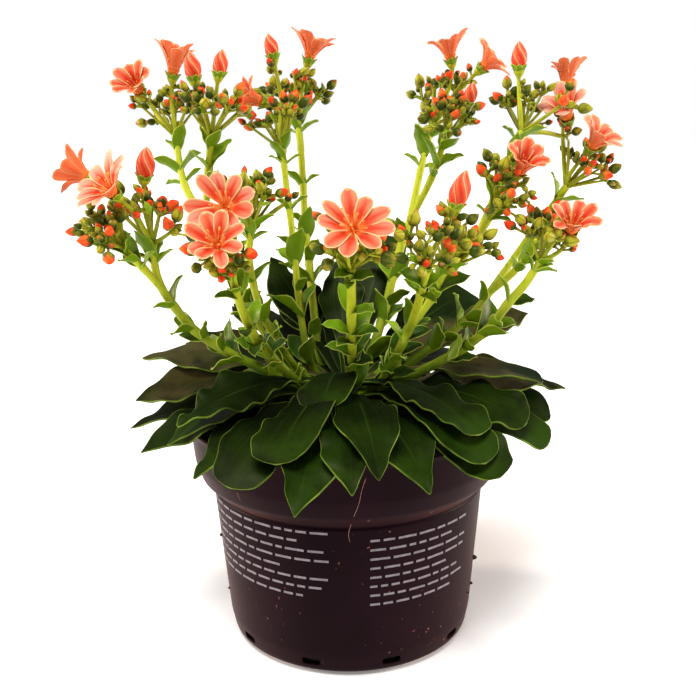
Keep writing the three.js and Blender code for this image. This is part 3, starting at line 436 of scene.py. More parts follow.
def leaf_line(leaf: LeafRow, t: Array) -> tuple[Array, Array, Array]:
    """Middle line of a leaf's blade.

    Args:
        leaf: The leaf.
        t: Shares of the way from root to tip.

    Returns:
        Points, the way the blade grows at each, and the one way that lies across it.
    """
    outward, side = bearing(math.radians(leaf.azimuth))
    root = outward * LEAF_ROOT_RADIUS + UP * leaf.root
    tip = outward * leaf.reach + UP * leaf.tip
    bend = (root + tip) / 2
    bend[2] = leaf_bend_height(leaf)
    centres = bent_line(root, bend, tip, t)
    axes = unit(bent_line(root, bend, tip, np.asarray(t) + 0.01) - centres)
    return centres, axes, side


@dataclass(frozen=True)
class Seat:
    """Where a bloom's funnel stands and which way it faces."""

    facing: Array
    foot: Array
    calyx_top: Array

    @staticmethod
    def of(bloom: BloomRow) -> Seat:
        """Finds the seat of a bloom.

        Args:
            bloom: The bloom.

        Returns:
            Its seat.
        """
        facing = unit(triple(bloom.facing))
        foot = triple(bloom.throat) - facing * THROAT_DEPTH
        return Seat(facing, foot, foot - facing * SEAT_GAP)


def petal_line(bloom: BloomRow, t: Array) -> Array:
    """Middle line of a petal.

    Args:
        bloom: The bloom.
        t: Shares of the way from the funnel's rim to the petal's tip.

    Returns:
        Reach from the bloom's axis and height over its foot, one row for each share.
    """
    start = np.array([FUNNEL_RIM[0], FUNNEL_RIM[1] + 0.4])
    control = np.array([bloom.reach * 0.35, bloom.rise + 1])
    return bent_line(start, control, np.array([bloom.reach, bloom.rise]), t)


# Plan of the plant


class Kind(Enum):
    """What fills a ball of room: a stem, a branch's tip or anything else."""

    STEM = 1
    TIP = 2
    REST = 3


@dataclass
class Bract:
    """A small leaf on a stem: the way it leaves, its middle, its end and its width."""

    root: Array
    outward: Array
    axis: Array
    middle: Array
    end: Array
    width: float

    @staticmethod
    def leaving(
        root: Array, axis: Array, outward: Array, length: float, leans: Pair,
        width: float, proud: float = 0.0,
    ) -> Bract:
        """Works out a bract that leaves its stem in two straight halves.

        Args:
            root: Where it leaves.
            axis: The way the stem grows there.
            outward: The way out of the stem.
            length: Its length.
            leans: Each half's lean from the stem, in degrees.
            width: Its width as a share of its length.
            proud: How far out of the stem's middle it starts.

        Returns:
            The bract.
        """
        middle = root + leaning(axis, outward, leans[0]) * (length * 0.5 + proud)
        end = middle + leaning(axis, outward, leans[1]) * length * 0.5
        return Bract(root, outward, axis, middle, end, length * width)


@dataclass
class Bud:
    """A small bud: where its stalk leaves, its foot, the way it points, its size and ripeness."""

    start: Array
    foot: Array
    direction: Array
    size: float
    ripe: float = 0.0

    def waist(self) -> Array:
        """The middle of the bud's widest round."""
        return self.foot + self.direction * BUD_LENGTH * self.size * BUD_WAIST


@dataclass
class Branch:
    """A branch of a head, with buds at its end."""

    root: Array
    end: Array
    direction: Array
    radius: float = 0.75


@dataclass
class Stalk:
    """A stalk that carries a bloom or an opening bud, and the calyx on it."""

    points: Array
    facing: Array
    radius: float


@dataclass
class Row:
    """A place on a limb: its point, its axis and the way its first side's corner lies."""

    point: Array
    axis: Array
    across: Array
    radius: float
    leafy: bool

    def sideways(self, side: float) -> Array:
        """Way out through the middle of one of the stem's five sides."""
        angle = FULL_TURN * (side + 0.5) / STEM_SIDES
        return self.across * math.cos(angle) + np.cross(self.axis, self.across) * math.sin(angle)


@dataclass
class Limb:
    """A stem's way up to one head, what grows on it and the draw of its stem."""

    owner: int
    rows: list[Row]
    fork: Fork
    first: bool
    draw: Draw
    bracts: list[Bract] = field(default_factory=list)
    stalks: list[Stalk] = field(default_factory=list)
    branches: list[Branch] = field(default_factory=list)
    buds: list[Bud] = field(default_factory=list)
    taken: list[int] = field(default_factory=list)

    @property
    def hub(self) -> Row:
        """The joint that the head's branches leave from."""
        return self.rows[-1]


class Room:
    """What is already taken up by leaves, stems, stalks, buds and blooms."""

    def __init__(self) -> None:
        """Starts with the open blooms alone."""
        self.balls = np.zeros((20000, 6))
        self.count = 0
        seats = [Seat.of(bloom) for bloom in BLOOMS]
        self.feet = np.array([seat.foot for seat in seats])
        self.facings = np.array([seat.facing for seat in seats])
        self.petals = np.array([petal_line(bloom, np.arange(7) / 6) for bloom in BLOOMS])

    def take(self, owner: int, kind: Kind, point: Array, radius: float) -> None:
        """Fills one ball for a part of a stem, or of no stem where the owner is -1."""
        self.balls[self.count] = (*point, radius, owner, kind.value)
        self.count += 1

    def take_line(self, owner: int, kind: Kind, points: list[Array], radius: float) -> None:
        """Fills balls along points and midway between them.

        Args:
            owner: Number of the stem that they belong to.
            kind: What fills them.
            points: The points.
            radius: The balls' radius.
        """
        for index, point in enumerate(points):
            self.take(owner, kind, point, radius)
            if index > 0:
                self.take(owner, kind, (point + points[index - 1]) / 2, radius)

    def take_leaf(self, leaf: LeafRow) -> None:
        """Fills four rows of balls in a leaf's blade.

        Args:
            leaf: The leaf.
        """
        t = 0.3
        while t < 1:
            centres, _, side = leaf_line(leaf, np.array([t]))
            half = leaf.width / 2 * float(np.interp(t, LEAF_STATIONS, LEAF_SHARES))
            for share in (-0.75, -0.25, 0.25, 0.75):
                self.take(-1, Kind.REST, centres[0] + side * half * share, half * 0.3)
            t += 0.07

    def clear_of_blooms(self, point: Array, radius: float) -> bool:
        """Tells whether a ball keeps off every open bloom.

        Args:
            point: Its centre.
            radius: Its radius.

        Returns:
            True where it does.
        """
        offset = point - self.feet
        height = (offset * self.facings).sum(1)
        reach = np.linalg.norm(offset - self.facings * height[:, None], axis=1)
        gaps = np.hypot(reach[:, None] - self.petals[:, :, 0], height[:, None] - self.petals[:, :, 1])
        off_throat = np.hypot(reach, height - 1) > radius + THROAT_GAP
        return bool((gaps >= radius + PETAL_GAP).all() and off_throat.all())

    def free(
        self, owner: int, point: Array, radius: float, parent: Kind | None = None,
        gaps: Pair = (CLEAR_OF_OWN, CLEAR_OF_OTHERS),
    ) -> bool:
        """Tells whether a ball keeps off everything that is there.

        Args:
            owner: Number of the stem that it would belong to.
            point: Its centre.
            radius: Its radius.
            parent: The kind of thing on its own stem that it may touch.
            gaps: Gaps that it keeps from its own stem's parts and from everything else.

        Returns:
            True where it is free.
        """
        balls = self.balls[: self.count]
        found = np.linalg.norm(balls[:, :3] - point, axis=1) - balls[:, 3] - radius
        same = balls[:, 4] == owner
        skipped = same & (balls[:, 5] == (parent.value if parent else 0))
        fine = (found > np.where(same, *gaps)) | skipped
        return bool(fine.all()) and self.clear_of_blooms(point, radius)


@dataclass
class PlantPlan:
    """Everything that grows from the crown, worked out before any mesh is made."""

    seed_factor: int = 7919
    branch_room: float = 1.0
    tip_room: float = 1.2
    foot_room: float = 0.8
    bract_room: float = 1.6
    bract_rooms: Triple = (1.8, 1.0, 0.5)
    bract_sizes: Pair = (0.8, 1.1)
    bud_swing: Pair = (-20, 20)
    room: Room = field(default_factory=Room)
    stems: list[list[Limb]] = field(default_factory=list)

    def grow(self) -> None:
        """Lays out stems, stalks, branches, buds and bracts in their order."""
        for leaf in LEAVES:
            self.room.take_leaf(leaf)
        for owner, stem in enumerate(STEMS):
            self.stems.append(self.limbs_of(owner, stem))
            for limb in self.stems[-1]:
                self.room.take_line(owner, Kind.STEM, [row.point for row in limb.rows], stem.radius)
        for bloom in BLOOMS:
            seat = Seat.of(bloom)
            self.carry(bloom, seat.calyx_top, seat.facing, CALYX_RADIUS)
        for bud in OPENING_BUDS:
            facing, foot = unit(triple(bud.facing)), triple(bud.foot)
            self.carry(bud, foot - facing * SEAT_GAP, facing, bud.radius * 0.75)
            for t in (0.15, 0.4, 0.65, 0.9):
                self.room.take(-1, Kind.REST, foot + facing * bud.length * t, bud.radius)
        for limbs in self.stems:
            for limb in limbs:
                self.head_branches(limb)
            for limb in limbs:
                self.node_bracts(limb)

    def limbs_of(self, owner: int, stem: StemRow) -> list[Limb]:
        """Rows of a stem up to the end of each of its forks.

        Args:
            owner: Number of the stem.
            stem: The stem.

        Returns:
            One limb for each fork.
        """
        path = triple(stem.path)
        main = smooth_line(path, np.arange(STEM_STEPS + 1) / STEM_STEPS)
        draw = Draw(stem.seed * self.seed_factor)
        top = stem.radius * STEM_TAPER
        main_radii = [stem.radius + (top - stem.radius) * k / STEM_STEPS for k in range(STEM_STEPS + 1)]
        limbs = []
        for index, head in enumerate(stem.forks):
            whole = np.vstack([path[-1], triple(head.path)])
            fork = smooth_line(whole, np.arange(FORK_STEPS + 1) / FORK_STEPS)
            radii = [top + (FORK_RADIUS - top) * k / FORK_STEPS for k in range(FORK_STEPS + 1)]
            lower, lower_radii, nodes = list(main), main_radii, STEM_NODES
            if index > 0:
                lower, lower_radii, nodes = [fork[0] + (main[-2] - fork[0]) * 0.1], [top * 0.8], ()
            nodes = [*nodes, *[node + len(lower) - 1 for node in FORK_NODES]]
            rows = self.rows_of([*lower, *fork[1:]], [*lower_radii, *radii[1:]], nodes)
            limbs.append(Limb(owner, rows, head, index == 0, draw))
        return limbs

    @staticmethod
    def rows_of(points: list[Array], radii: list[float], nodes: list[int]) -> list[Row]:
        """Rows of a limb from its points.

        Args:
            points: The limb's points.
            radii: Its radius at each.
            nodes: Numbers of the points that bear bracts.

        Returns:
            The rows, each with its frame.
        """
        rows: list[Row] = []
        across = None
        for index, point in enumerate(points):
            before, after = points[max(index - 1, 0)], points[min(index + 1, len(points) - 1)]
            axis = unit(after - before)
            across = square_to(axis)[0] if across is None else across
            across = unit(across - axis * across.dot(axis))
            rows.append(Row(point, axis, across, radii[index], index in nodes))
        return rows

    def carry(
        self, item: BloomRow | OpeningRow, calyx_top: Array, facing: Array, radius: float
    ) -> None:
        """Grows the stalk that carries a bloom or an opening bud.

        Args:
            item: What it carries.
            calyx_top: Middle of the calyx's upper face.
            facing: The way that it faces.
            radius: The calyx's radius.
        """
        owner = next(index for index, stem in enumerate(STEMS) if stem.name == item.stem)
        limb = self.stems[owner][item.fork]
        hub = limb.hub
        end = calyx_top - facing * CALYX_LENGTH
        way = end - hub.point
        free = [side for side in range(STEM_SIDES) if side not in limb.taken]
        side = max(free, key=lambda candidate: hub.sideways(candidate).dot(way))
        reach = STALK_BEND * float(np.linalg.norm(way))
        leaving = leaning(hub.axis, hub.sideways(side), STALK_LEAN)
        corners = (hub.point, hub.point + leaving * reach, end - facing * reach, end)
        points = [hub.point]
        for t in STALK_STATIONS:
            shares = ((1 - t) ** 3, 3 * t * (1 - t) ** 2, 3 * t * t * (1 - t), t**3)
            points.append(sum(corner * share for corner, share in zip(corners, shares)))
        limb.taken.append(side)
        limb.stalks.append(Stalk(np.array(points), facing, radius))
        self.room.take_line(owner, Kind.REST, [*points, calyx_top], STALK_RADIUS)

    def head_branches(self, limb: Limb) -> None:
        """Bud branches on the sides of a head's joint that no stalk has taken.

        Args:
            limb: The limb that ends in the head.
        """
        hub, draw = limb.hub, limb.draw
        sides = [2 * step % STEM_SIDES for step in range(STEM_SIDES)]
        for side in [side for side in sides if side not in limb.taken][:HEAD_BRANCHES]:
            for _ in range(TRIES):
                direction = leaning(hub.axis, hub.sideways(side), draw.between(*BRANCH_LEAN))
                end = hub.point + direction * limb.fork.reach * draw.between(*BRANCH_SPREAD)
                middle, outer = (hub.point + (end - hub.point) * share for share in (0.55, 0.8))
                room, needed = self.room, self.branch_room
                if all(room.free(limb.owner, point, needed, Kind.STEM) for point in (middle, outer, end)):
                    limb.branches.append(Branch(hub.point, end, direction))
                    room.take(limb.owner, Kind.REST, middle, needed)
                    room.take(limb.owner, Kind.TIP, end, self.tip_room)
                    break
        for branch in limb.branches:
            for slot in range(TWIG_SIDES):
                self.branch_bud(limb, branch, slot)

    def branch_bud(self, limb: Limb, branch: Branch, slot: int) -> None:
        """Tries to stand a bud on one side of a branch's end.

        Args:
            limb: The limb that the bud is added to.
            branch: The branch.
            slot: Number of the side.
        """
        draw = limb.draw
        for _ in range(TRIES):
            tilt = math.radians(draw.between(*BUD_LEAN))
            turn = math.radians((slot + 0.5) * 360 / TWIG_SIDES + draw.between(*self.bud_swing))
            direction = tilted(branch.direction, tilt, turn)
            foot = branch.end + direction * draw.between(*PEDICEL_LENGTH)
            bud = Bud(branch.end, foot, direction, draw.between(*BUD_SIZE))
            radius = BUD_RADIUS * bud.size
            clear = self.room.free(limb.owner, bud.waist(), radius)
            if clear and self.room.free(limb.owner, foot, self.foot_room, Kind.TIP):
                limb.buds.append(bud)
                self.room.take(limb.owner, Kind.REST, bud.waist(), radius)
                self.room.take(limb.owner, Kind.REST, foot, self.foot_room)
                return

    def node_bracts(self, limb: Limb) -> None:
        """Two bracts at each leafy row, turning round the stem from row to row.

        Args:
            limb: The limb.
        """
        draw = limb.draw
        for node, row in enumerate(row for row in limb.rows if row.leafy):
            for turn in (2 * node, 2 * node + 2):
                outward = row.sideways(turn % STEM_SIDES)
                length = BRACT_LENGTH * draw.between(*self.bract_sizes)
                length *= SMALL_BRACT if row.radius < 1.5 else 1
                leans = (draw.between(*BRACT_LEAN), BRACT_TIP_LEAN)
                bract = Bract.leaving(row.point, row.axis, outward, length, leans, BRACT_WIDTH, row.radius)
                self.add_bract(limb, bract, self.bract_room, (CLEAR_OF_OWN, CLEAR_OF_OTHERS))

    def add_bract(self, limb: Limb, bract: Bract, width: float, gaps: Pair) -> None:
        """Adds a bract where there is room for it.

        Args:
            limb: The limb.
            bract: The bract.
            width: Half of the room that its middle needs.
            gaps: Gaps that it keeps from its own stem's parts and from everything else.
        """
        owner = limb.owner
        clear = self.room.free(owner, bract.middle, width, Kind.STEM, gaps)
        if clear and self.room.free(owner, bract.end, width / 2, Kind.STEM, gaps):
            limb.bracts.append(bract)
            places = (bract.middle, (bract.middle + bract.end) / 2, bract.end)
            for place, radius in zip(places, self.bract_rooms):
                self.room.take(owner, Kind.REST, place, radius)


@dataclass
class FineGrowth:
    """What the solids leave out: the smaller bracts and the buds that crowd each head."""

    plan: PlantPlan
    seed: int = 401
    seed_factor: int = 6151
    buds_a_head: int = 44
    tries: int = 560
    least_upright: float = 0.1
    bud_tilt: Pair = (6, 72)
    bud_size: Pair = (0.52, 0.86)
    bud_stalk: Pair = (1.2, 3.8)
    branch_tilt: Pair = (6, 50)
    branch_reach: Pair = (0.75, 1.1)
    bract_places: Floats = (1.4, 2.5, 3.6)
    bract_length: float = 12.5
    bract_sizes: Pair = (0.55, 1.05)
    bract_lean: Pair = (24, 50)
    bract_bend: Pair = (4, 24)
    bract_width: Pair = (0.44, 0.54)
    on_branches: float = 0.62
    on_stalks: float = 0.84
    stalk_part: Pair = (0.6, 0.96)
    bud_gaps: Pair = (0.05, 0.2)
    gaps: Pair = (0, 0.2)

    def grow(self) -> None:
        """Adds to every limb of the plan, with a new draw for each stem."""
        for owner, limbs in enumerate(self.plan.stems):
            draw = Draw((self.seed + owner) * self.seed_factor)
            for limb in limbs:
                limb.draw = draw
                self.crowd_head(limb)
            for limb in limbs:
                self.more_bracts(limb)
            for limb in limbs:
                for bud in limb.buds:
                    bud.ripe = draw.next()

    def crowd_head(self, limb: Limb) -> None:
        """Adds short branches and buds until the head is full.

        Args:
            limb: The limb that ends in the head.
        """
        draw = limb.draw
        wanted = int(self.buds_a_head * min(1, 0.45 + limb.fork.reach / 28))
        for _ in range(self.tries):
            if len(limb.buds) >= wanted:
                return
            start, way = self.spot(limb)
            for _ in range(3 if start is not None else 0):
                tilt = math.radians(draw.between(*self.bud_tilt))
                direction = tilted(way, tilt, draw.between(0, FULL_TURN))
                size = draw.between(*self.bud_size)
                bud = Bud(start, start + direction * draw.between(*self.bud_stalk), direction, size)
                if direction.dot(limb.hub.axis) < self.least_upright:
                    continue
                radius = BUD_RADIUS * size * 0.86
                if self.plan.room.free(limb.owner, bud.waist(), radius, Kind.TIP, self.bud_gaps):
                    limb.buds.append(bud)
                    self.plan.room.take(limb.owner, Kind.REST, bud.waist(), radius)
                    break

    def spot(self, limb: Limb) -> tuple[Array | None, Array]:
        """Picks where a bud's stalk leaves: a branch's end, a bloom's stalk or a new thin branch.

        Args:
            limb: The limb.

        Returns:
            The place, or nothing where a new branch had no room, and the way it grows there.
        """
        draw, hub = limb.draw, limb.hub
        pick = draw.next()
        if pick < self.on_branches and limb.branches:
            branch = limb.branches[int(draw.next() * len(limb.branches))]
            return branch.end, branch.direction
        if pick < self.on_stalks and limb.stalks:
            stalk = limb.stalks[int(draw.next() * len(limb.stalks))]
            return smooth_line(stalk.points, draw.between(*self.stalk_part))[0], stalk.facing
        tilt = math.radians(draw.between(*self.branch_tilt))
        direction = tilted(hub.axis, tilt, draw.between(0, FULL_TURN))
        end = hub.point + direction * limb.fork.reach * draw.between(*self.branch_reach)
        if not self.plan.room.free(limb.owner, end, 0.7, Kind.STEM, self.gaps):
            return None, direction
        limb.branches.append(Branch(hub.point, end, direction, 0.6))
        self.plan.room.take(limb.owner, Kind.TIP, end, 0.8)
        return end, direction

    def more_bracts(self, limb: Limb) -> None:
        """Adds bracts between the leafy rows and a ruff of them under the head.

        Args:
            limb: The limb.
        """
        draw = limb.draw
        points = np.array([row.point for row in limb.rows])
        last = len(points) - 1
        ruff = [place for place in (last - 0.75, last - 0.3) if place > 0.5]
        for order, place in enumerate([*(self.bract_places if limb.first else (0.8,)), *ruff]):
            point = smooth_line(points, place / last)[0]
            row = limb.rows[min(int(round(place)), last)]
            for turn in (order * 1.3, order * 1.3 + 2.4):
                outward = row.sideways(turn)
                length = self.bract_length * draw.between(*self.bract_sizes)
                length *= 1 + 0.45 * (1 - place / last)
                lean = draw.between(*self.bract_lean)
                leans = (lean, lean + draw.between(*self.bract_bend))
                width = draw.between(*self.bract_width)
                bract = Bract.leaving(point, row.axis, outward, length, leans, width, row.radius * 0.6)
                self.plan.add_bract(limb, bract, 1.0, self.gaps)


# Meshes from rings of corners


def marked(shape: tuple[int, ...], *values: object) -> Array:
    """Numbers for every corner of a shape's rings, each given once, by column or by row."""
    return np.stack([np.broadcast_to(value, shape) for value in values], -1)


def round_ways(first: Array, second: Array, angle: Array) -> Array:
    """Ways out at angles round the axis that two unit vectors are square to."""
    return first * np.cos(angle)[..., None] + second * np.sin(angle)[..., None]


def even_angles(sides: int) -> Array:
    """Angles of the corners of an even round."""
    return FULL_TURN * np.arange(sides) / sides


@dataclass
class Shell:
    """One mesh while it is put together, with the marks that its finishes read at each corner."""

    name: str
    marks: tuple[str, ...] = ("rim", "tone", "under")
    corners: list[Array] = field(default_factory=list)
    faces: list[list[int]] = field(default_factory=list)
    slots: list[int] = field(default_factory=list)

    def points(self) -> Array:
        """Where the corners are, in millimetres."""
        return np.array(self.corners)[:, :3]

    def skin(self, rings: Array, places: Array, notes: Array, slot: int = 0) -> None:
        """Skins a closed shape over rings that turn left round the way it grows.

        Args:
            rings: Rings of corners, as an array of rings, corners and three numbers.
            places: Their places on the UV map.
            notes: Their marks.
            slot: The finish's number on the mesh.
        """
        count, sides = rings.shape[:2]
        first = len(self.corners)
        corners = np.concatenate([rings, places, notes], -1)
        self.corners.extend([*corners.reshape(count * sides, -1), corners[0].mean(0), corners[-1].mean(0)])
        rows = np.arange(count - 1)[:, None] * sides + first
        here = np.arange(sides)[None, :]
        ahead = (here + 1) % sides
        quads = np.stack([rows + here, rows + ahead, rows + sides + ahead, rows + sides + here], -1)
        self.faces.extend(quads.reshape(-1, 4).tolist())
        for end, order in ((0, -1), (1, 1)):
            start, middle = first + end * (count - 1) * sides, first + count * sides + end
            for side in range(sides):
                pair = [start + side, start + (side + 1) % sides]
                self.faces.append([middle, *pair[::order]])
        self.slots.extend([slot] * (len(self.faces) - len(self.slots)))

    def plain_skin(self, rings: Array, rim: float = 0.0) -> None:
        """Skins a shape that has one place on the UV map and no mark but its rim."""
        shape = rings.shape[:2]
        self.skin(rings, marked(shape, 0, 0), marked(shape, rim, 0, 0))

    def piece(self, *finishes: Material) -> Object:
        """Makes the object, with its place in its mesh.

        Args:
            finishes: Its materials in the order of the slots.

        Returns:
            The object.
        """
        mesh = bpy.data.meshes.new(self.name)
        corners = np.array(self.corners)
        mesh.from_pydata((corners[:, :3] * METRE).tolist(), [], self.faces)
        mesh.polygons.foreach_set("material_index", np.array(self.slots, np.int32))
        mesh.shade_smooth()
        order = np.zeros(len(mesh.loops), np.int32)
        mesh.loops.foreach_get("vertex_index", order)
        places = corners[order, 3:5].astype(np.float32)
        mesh.uv_layers.new(name="UVMap").data.foreach_set("uv", places.ravel())
        for mark, values in zip(self.marks, corners.T[5:]):
            mesh.attributes.new(mark, "FLOAT", "POINT").data.foreach_set("value", values.astype(np.float32))
        for finish in finishes:
            mesh.materials.append(finish)
        return in_scene(self.name, mesh)


def tube(
    shell: Shell, points: Array, radii: Array, sides: int, tone: float = 0.0, slot: int = 0,
    ribs: float = 0.0,
) -> None:
    """Adds a round limb to a shell, in frames that turn as little as they can.

    Args:
        shell: The shell.
        points: The limb's middle line.
        radii: Its radius at each point.
        sides: Corners in a ring.
        tone: The limb's tone mark.
        slot: The finish's number.
        ribs: Height of the ribs along it as a share of the radius.
    """
    axes = unit(np.gradient(points, axis=0))
    across = [square_to(axes[0])[0]]
    for axis in axes:
        across.append(unit(across[-1] - axis * across[-1].dot(axis)))
    first = np.array(across[1:])
    angle = even_angles(sides)
    radius = np.asarray(radii)[:, None] * (1 + ribs * np.cos(3 * angle)[None, :])
    spread = round_ways(first[:, None], np.cross(axes, first)[:, None], angle)
    rings = points[:, None] + spread * radius[..., None]
    shape = rings.shape[:2]
    places = marked(shape, 0.5 - 0.5 * np.cos(angle), np.linspace(0, 1, len(points))[:, None])
    shell.skin(rings, places, marked(shape, FAR_FROM_RIM, tone, 0), slot)


@dataclass
class Blade:
    """A leaf, bract, sepal or petal: a thin closed blade that follows a middle line."""

    centres: Array
    axes: Array
    sides: Array
    halves: Array
    across: Array
    rise: Array
    thick: Array
    shift: Array | float = 0.0
    slide: Array | float = 0.0

    def add_to(self, shell: Shell, tone: float, slot: int = 0) -> None:
        """Adds the blade to a shell.

        Args:
            shell: The shell.
            tone: The blade's tone mark.
            slot: The finish's number.
        """
        normals = unit(np.cross(self.axes, self.sides))[:, None]
        steps = np.concatenate([[0], np.cumsum(np.linalg.norm(np.diff(self.centres, axis=0), axis=1))])
        shape = self.rise.shape
        shares = np.broadcast_to(self.across[None, :], shape)
        middle = (
            self.centres[:, None]
            + self.sides[:, None] * (shares * self.halves[:, None] + self.shift)[..., None]
            + self.axes[:, None] * np.broadcast_to(self.slide, shape)[..., None]
            + normals * self.rise[..., None]
        )
        half = normals * self.thick[..., None] / 2
        rings = np.concatenate([middle + half, (middle - half)[:, ::-1]], 1)
        rim = np.minimum((1 - np.abs(shares)) * self.halves[:, None], (steps[-1] - steps)[:, None] * 0.8)
        places = marked(shape, shares / 2 + 0.5, (steps / steps[-1])[:, None])
        places = np.concatenate([places, places[:, ::-1]], 1)
        notes = [marked(shape, rim, tone, under) for under in (0, 1)]
        shell.skin(rings, places, np.concatenate([notes[0], notes[1][:, ::-1]], 1), slot)


def spread_across(inner: int) -> Array:
    """Places across a blade from its right edge to its left one, closer near the edges.

    Args:
        inner: How many there are before the two beside the edges.

    Returns:
        The places, from 1 down to -1.
    """
    even = np.linspace(-1, 1, inner)
    eased_out = np.sin(even * math.pi / 2) * 0.45 + even * 0.55
    return -np.sort(np.concatenate([eased_out, [-0.965, 0.965]]))


# Finishes


def shade(code: str) -> tuple[float, float, float, float]:
    """Turns a six-figure colour code into the linear colour that a shader reads.

    Args:
        code: The colour code.

    Returns:
        Red, green, blue and alpha.
    """
    parts = [int(code[index : index + 2], 16) / 255 for index in (0, 2, 4)]
    linear = [p / 12.92 if p <= 0.04045 else ((p + 0.055) / 1.055) ** 2.4 for p in parts]
    return (*linear, 1.0)


@dataclass
class NodeBench:
    """Lays the nodes of one tree and joins them."""

    tree: NodeTree

    def node(self, kind: str, inputs: dict | None = None, **settings: object) -> Node:
        """Adds a node.

        Args:
            kind: Its type.
            inputs: Values, sockets or levels for its inputs, by name or number.
            settings: Its own settings.

        Returns:
            The node.
        """
        made = self.tree.nodes.new(kind)
        for key, value in settings.items():
            setattr(made, key, value)
        for key, value in (inputs or {}).items():
            self.put(made.inputs[key], value)
        return made

    def put(self, target: NodeSocket, value: object) -> None:
        """Joins a socket to another, or gives it a plain value.

        Args:
            target: The socket.
            value: The other socket, a level or a plain value.
        """
        value = value.socket if isinstance(value, Level) else value
        if isinstance(value, NodeSocket):
            self.tree.links.new(value, target)
        else:
            target.default_value = value


@dataclass(frozen=True)
class Level:
    """A number that a material works out at every place, and that takes part in sums."""

    bench: NodeBench
    socket: NodeSocket

    def sum(self, kind: str, *others: Level | float) -> Level:
        """Works out one sum of this number and others."""
        inputs = dict(enumerate((self, *others)))
        return Level(self.bench, self.bench.node("ShaderNodeMath", inputs, operation=kind).outputs[0])

    def __add__(self, other: Level | float) -> Level:
        """Adds a number."""
        return self.sum("ADD", other)

    def __sub__(self, other: Level | float) -> Level:
        """Takes a number away."""
        return self.sum("SUBTRACT", other)

    def __mul__(self, other: Level | float) -> Level:
        """Multiplies by a number."""
        return self.sum("MULTIPLY", other)

    def rest(self) -> Level:
        """What is missing from this number up to one."""
        return self * -1 + 1

    def off_middle(self) -> Level:
        """How far this place across a blade lies from its middle."""
        return (self - 0.5).sum("ABSOLUTE")

    def step(self, low: float, high: float) -> Level:
        """Smooth step of this number from 0 at one limit to 1 at the other.

        Args:
            low: The limit that gives 0.
            high: The limit that gives 1.

        Returns:
            The step.
        """
        inputs = {"Value": self, "From Min": low, "From Max": high}
        made = self.bench.node("ShaderNodeMapRange", inputs, interpolation_type="SMOOTHSTEP")
        return Level(self.bench, made.outputs[0])


class Bench(NodeBench):
    """Lays the nodes of one material, with its colour built up coat by coat."""

    def __init__(self, name: str) -> None:
        """Starts a material of the given name.

        Args:
            name: The name.
        """
        self.material = bpy.data.materials.new(name)
        self.material.use_nodes = True
        super().__init__(self.material.node_tree)
        self.shader = self.tree.nodes["Principled BSDF"]
        self.place = self.node("ShaderNodeTexCoord").outputs["Object"]
        self.colour: object = None

    def mark(self, name: str) -> Level:
        """Reads a mark of the mesh."""
        return Level(self, self.node("ShaderNodeAttribute", attribute_name=name).outputs["Fac"])

    def parts_of(self, source: NodeSocket) -> list[Level]:
        """The three numbers of a place."""
        return [Level(self, part) for part in self.node("ShaderNodeSeparateXYZ", {0: source}).outputs]

    def map_place(self) -> tuple[Level, Level]:
        """Reads the place on the UV map, across and along."""
        across, along, _ = self.parts_of(self.node("ShaderNodeTexCoord").outputs["UV"])
        return across, along

    def stretched(self, scale: Triple, *parts: Level) -> NodeSocket:
        """Stretches the place on the object, or one of three given numbers, on each axis."""
        source = self.node("ShaderNodeCombineXYZ", dict(enumerate(parts))).outputs[0] if parts else self.place
        return self.node("ShaderNodeMapping", {"Vector": source, "Scale": scale}).outputs[0]

    def noise(self, scale: float, detail: float, place: NodeSocket | None = None) -> Level:
        """Cloudy noise from 0 to 1, over the place on the object unless another is given."""
        inputs = {"Vector": place or self.place, "Scale": scale, "Detail": detail}
        return Level(self, self.node("ShaderNodeTexNoise", inputs).outputs["Fac"])

    def blend(self, share: Level, first: object, second: object) -> NodeSocket:
        """Blends two colours by a share. Each is a colour code or a socket."""
        first, second = (shade(colour) if isinstance(colour, str) else colour for colour in (first, second))
        return self.node("ShaderNodeMix", {0: share, 6: first, 7: second}, data_type="RGBA").outputs[2]

    def base(self, share: Level, first: str, second: str) -> None:
        """Lays the first coat, blended from two colours by a share."""
        self.colour = self.blend(share, first, second)

    def over(self, share: Level, colour: object) -> None:
        """Lays one more coat over the last one, as thick as a share says."""
        self.colour = self.blend(share, self.colour, colour)

    def bump(self, height: Level, strength: float, depth: float) -> None:
        """Gives the finish its relief, of a strength and a depth in millimetres."""
        inputs = {"Height": height, "Strength": strength, "Distance": depth * METRE}
        self.put(self.shader.inputs["Normal"], self.node("ShaderNodeBump", inputs).outputs[0])

    def finish(self, roughness: Level | float, **constants: object) -> Material:
        """Joins colour and roughness to the shader.

        Args:
            roughness: How rough the finish is.
            constants: Values for other sockets, with the names' spaces as underscores.

        Returns:
            The material.
        """
        self.put(self.shader.inputs["Base Color"], self.colour)
        self.put(self.shader.inputs["Roughness"], roughness)
        for name, value in constants.items():
            self.shader.inputs[name.replace("_", " ")].default_value = value
        return self.material


WARM_GREEN = (1.0, 1.0, 0.55, 1.0)
WARM_BROWN = (1.0, 0.82, 0.74, 1.0)
GREEN_GLOW = {"Specular_Tint": WARM_GREEN, "Subsurface_Scale": 0.002}
CORAL_GLOW = {"Specular_Tint": WARM_BROWN, "Subsurface_Scale": 0.003}


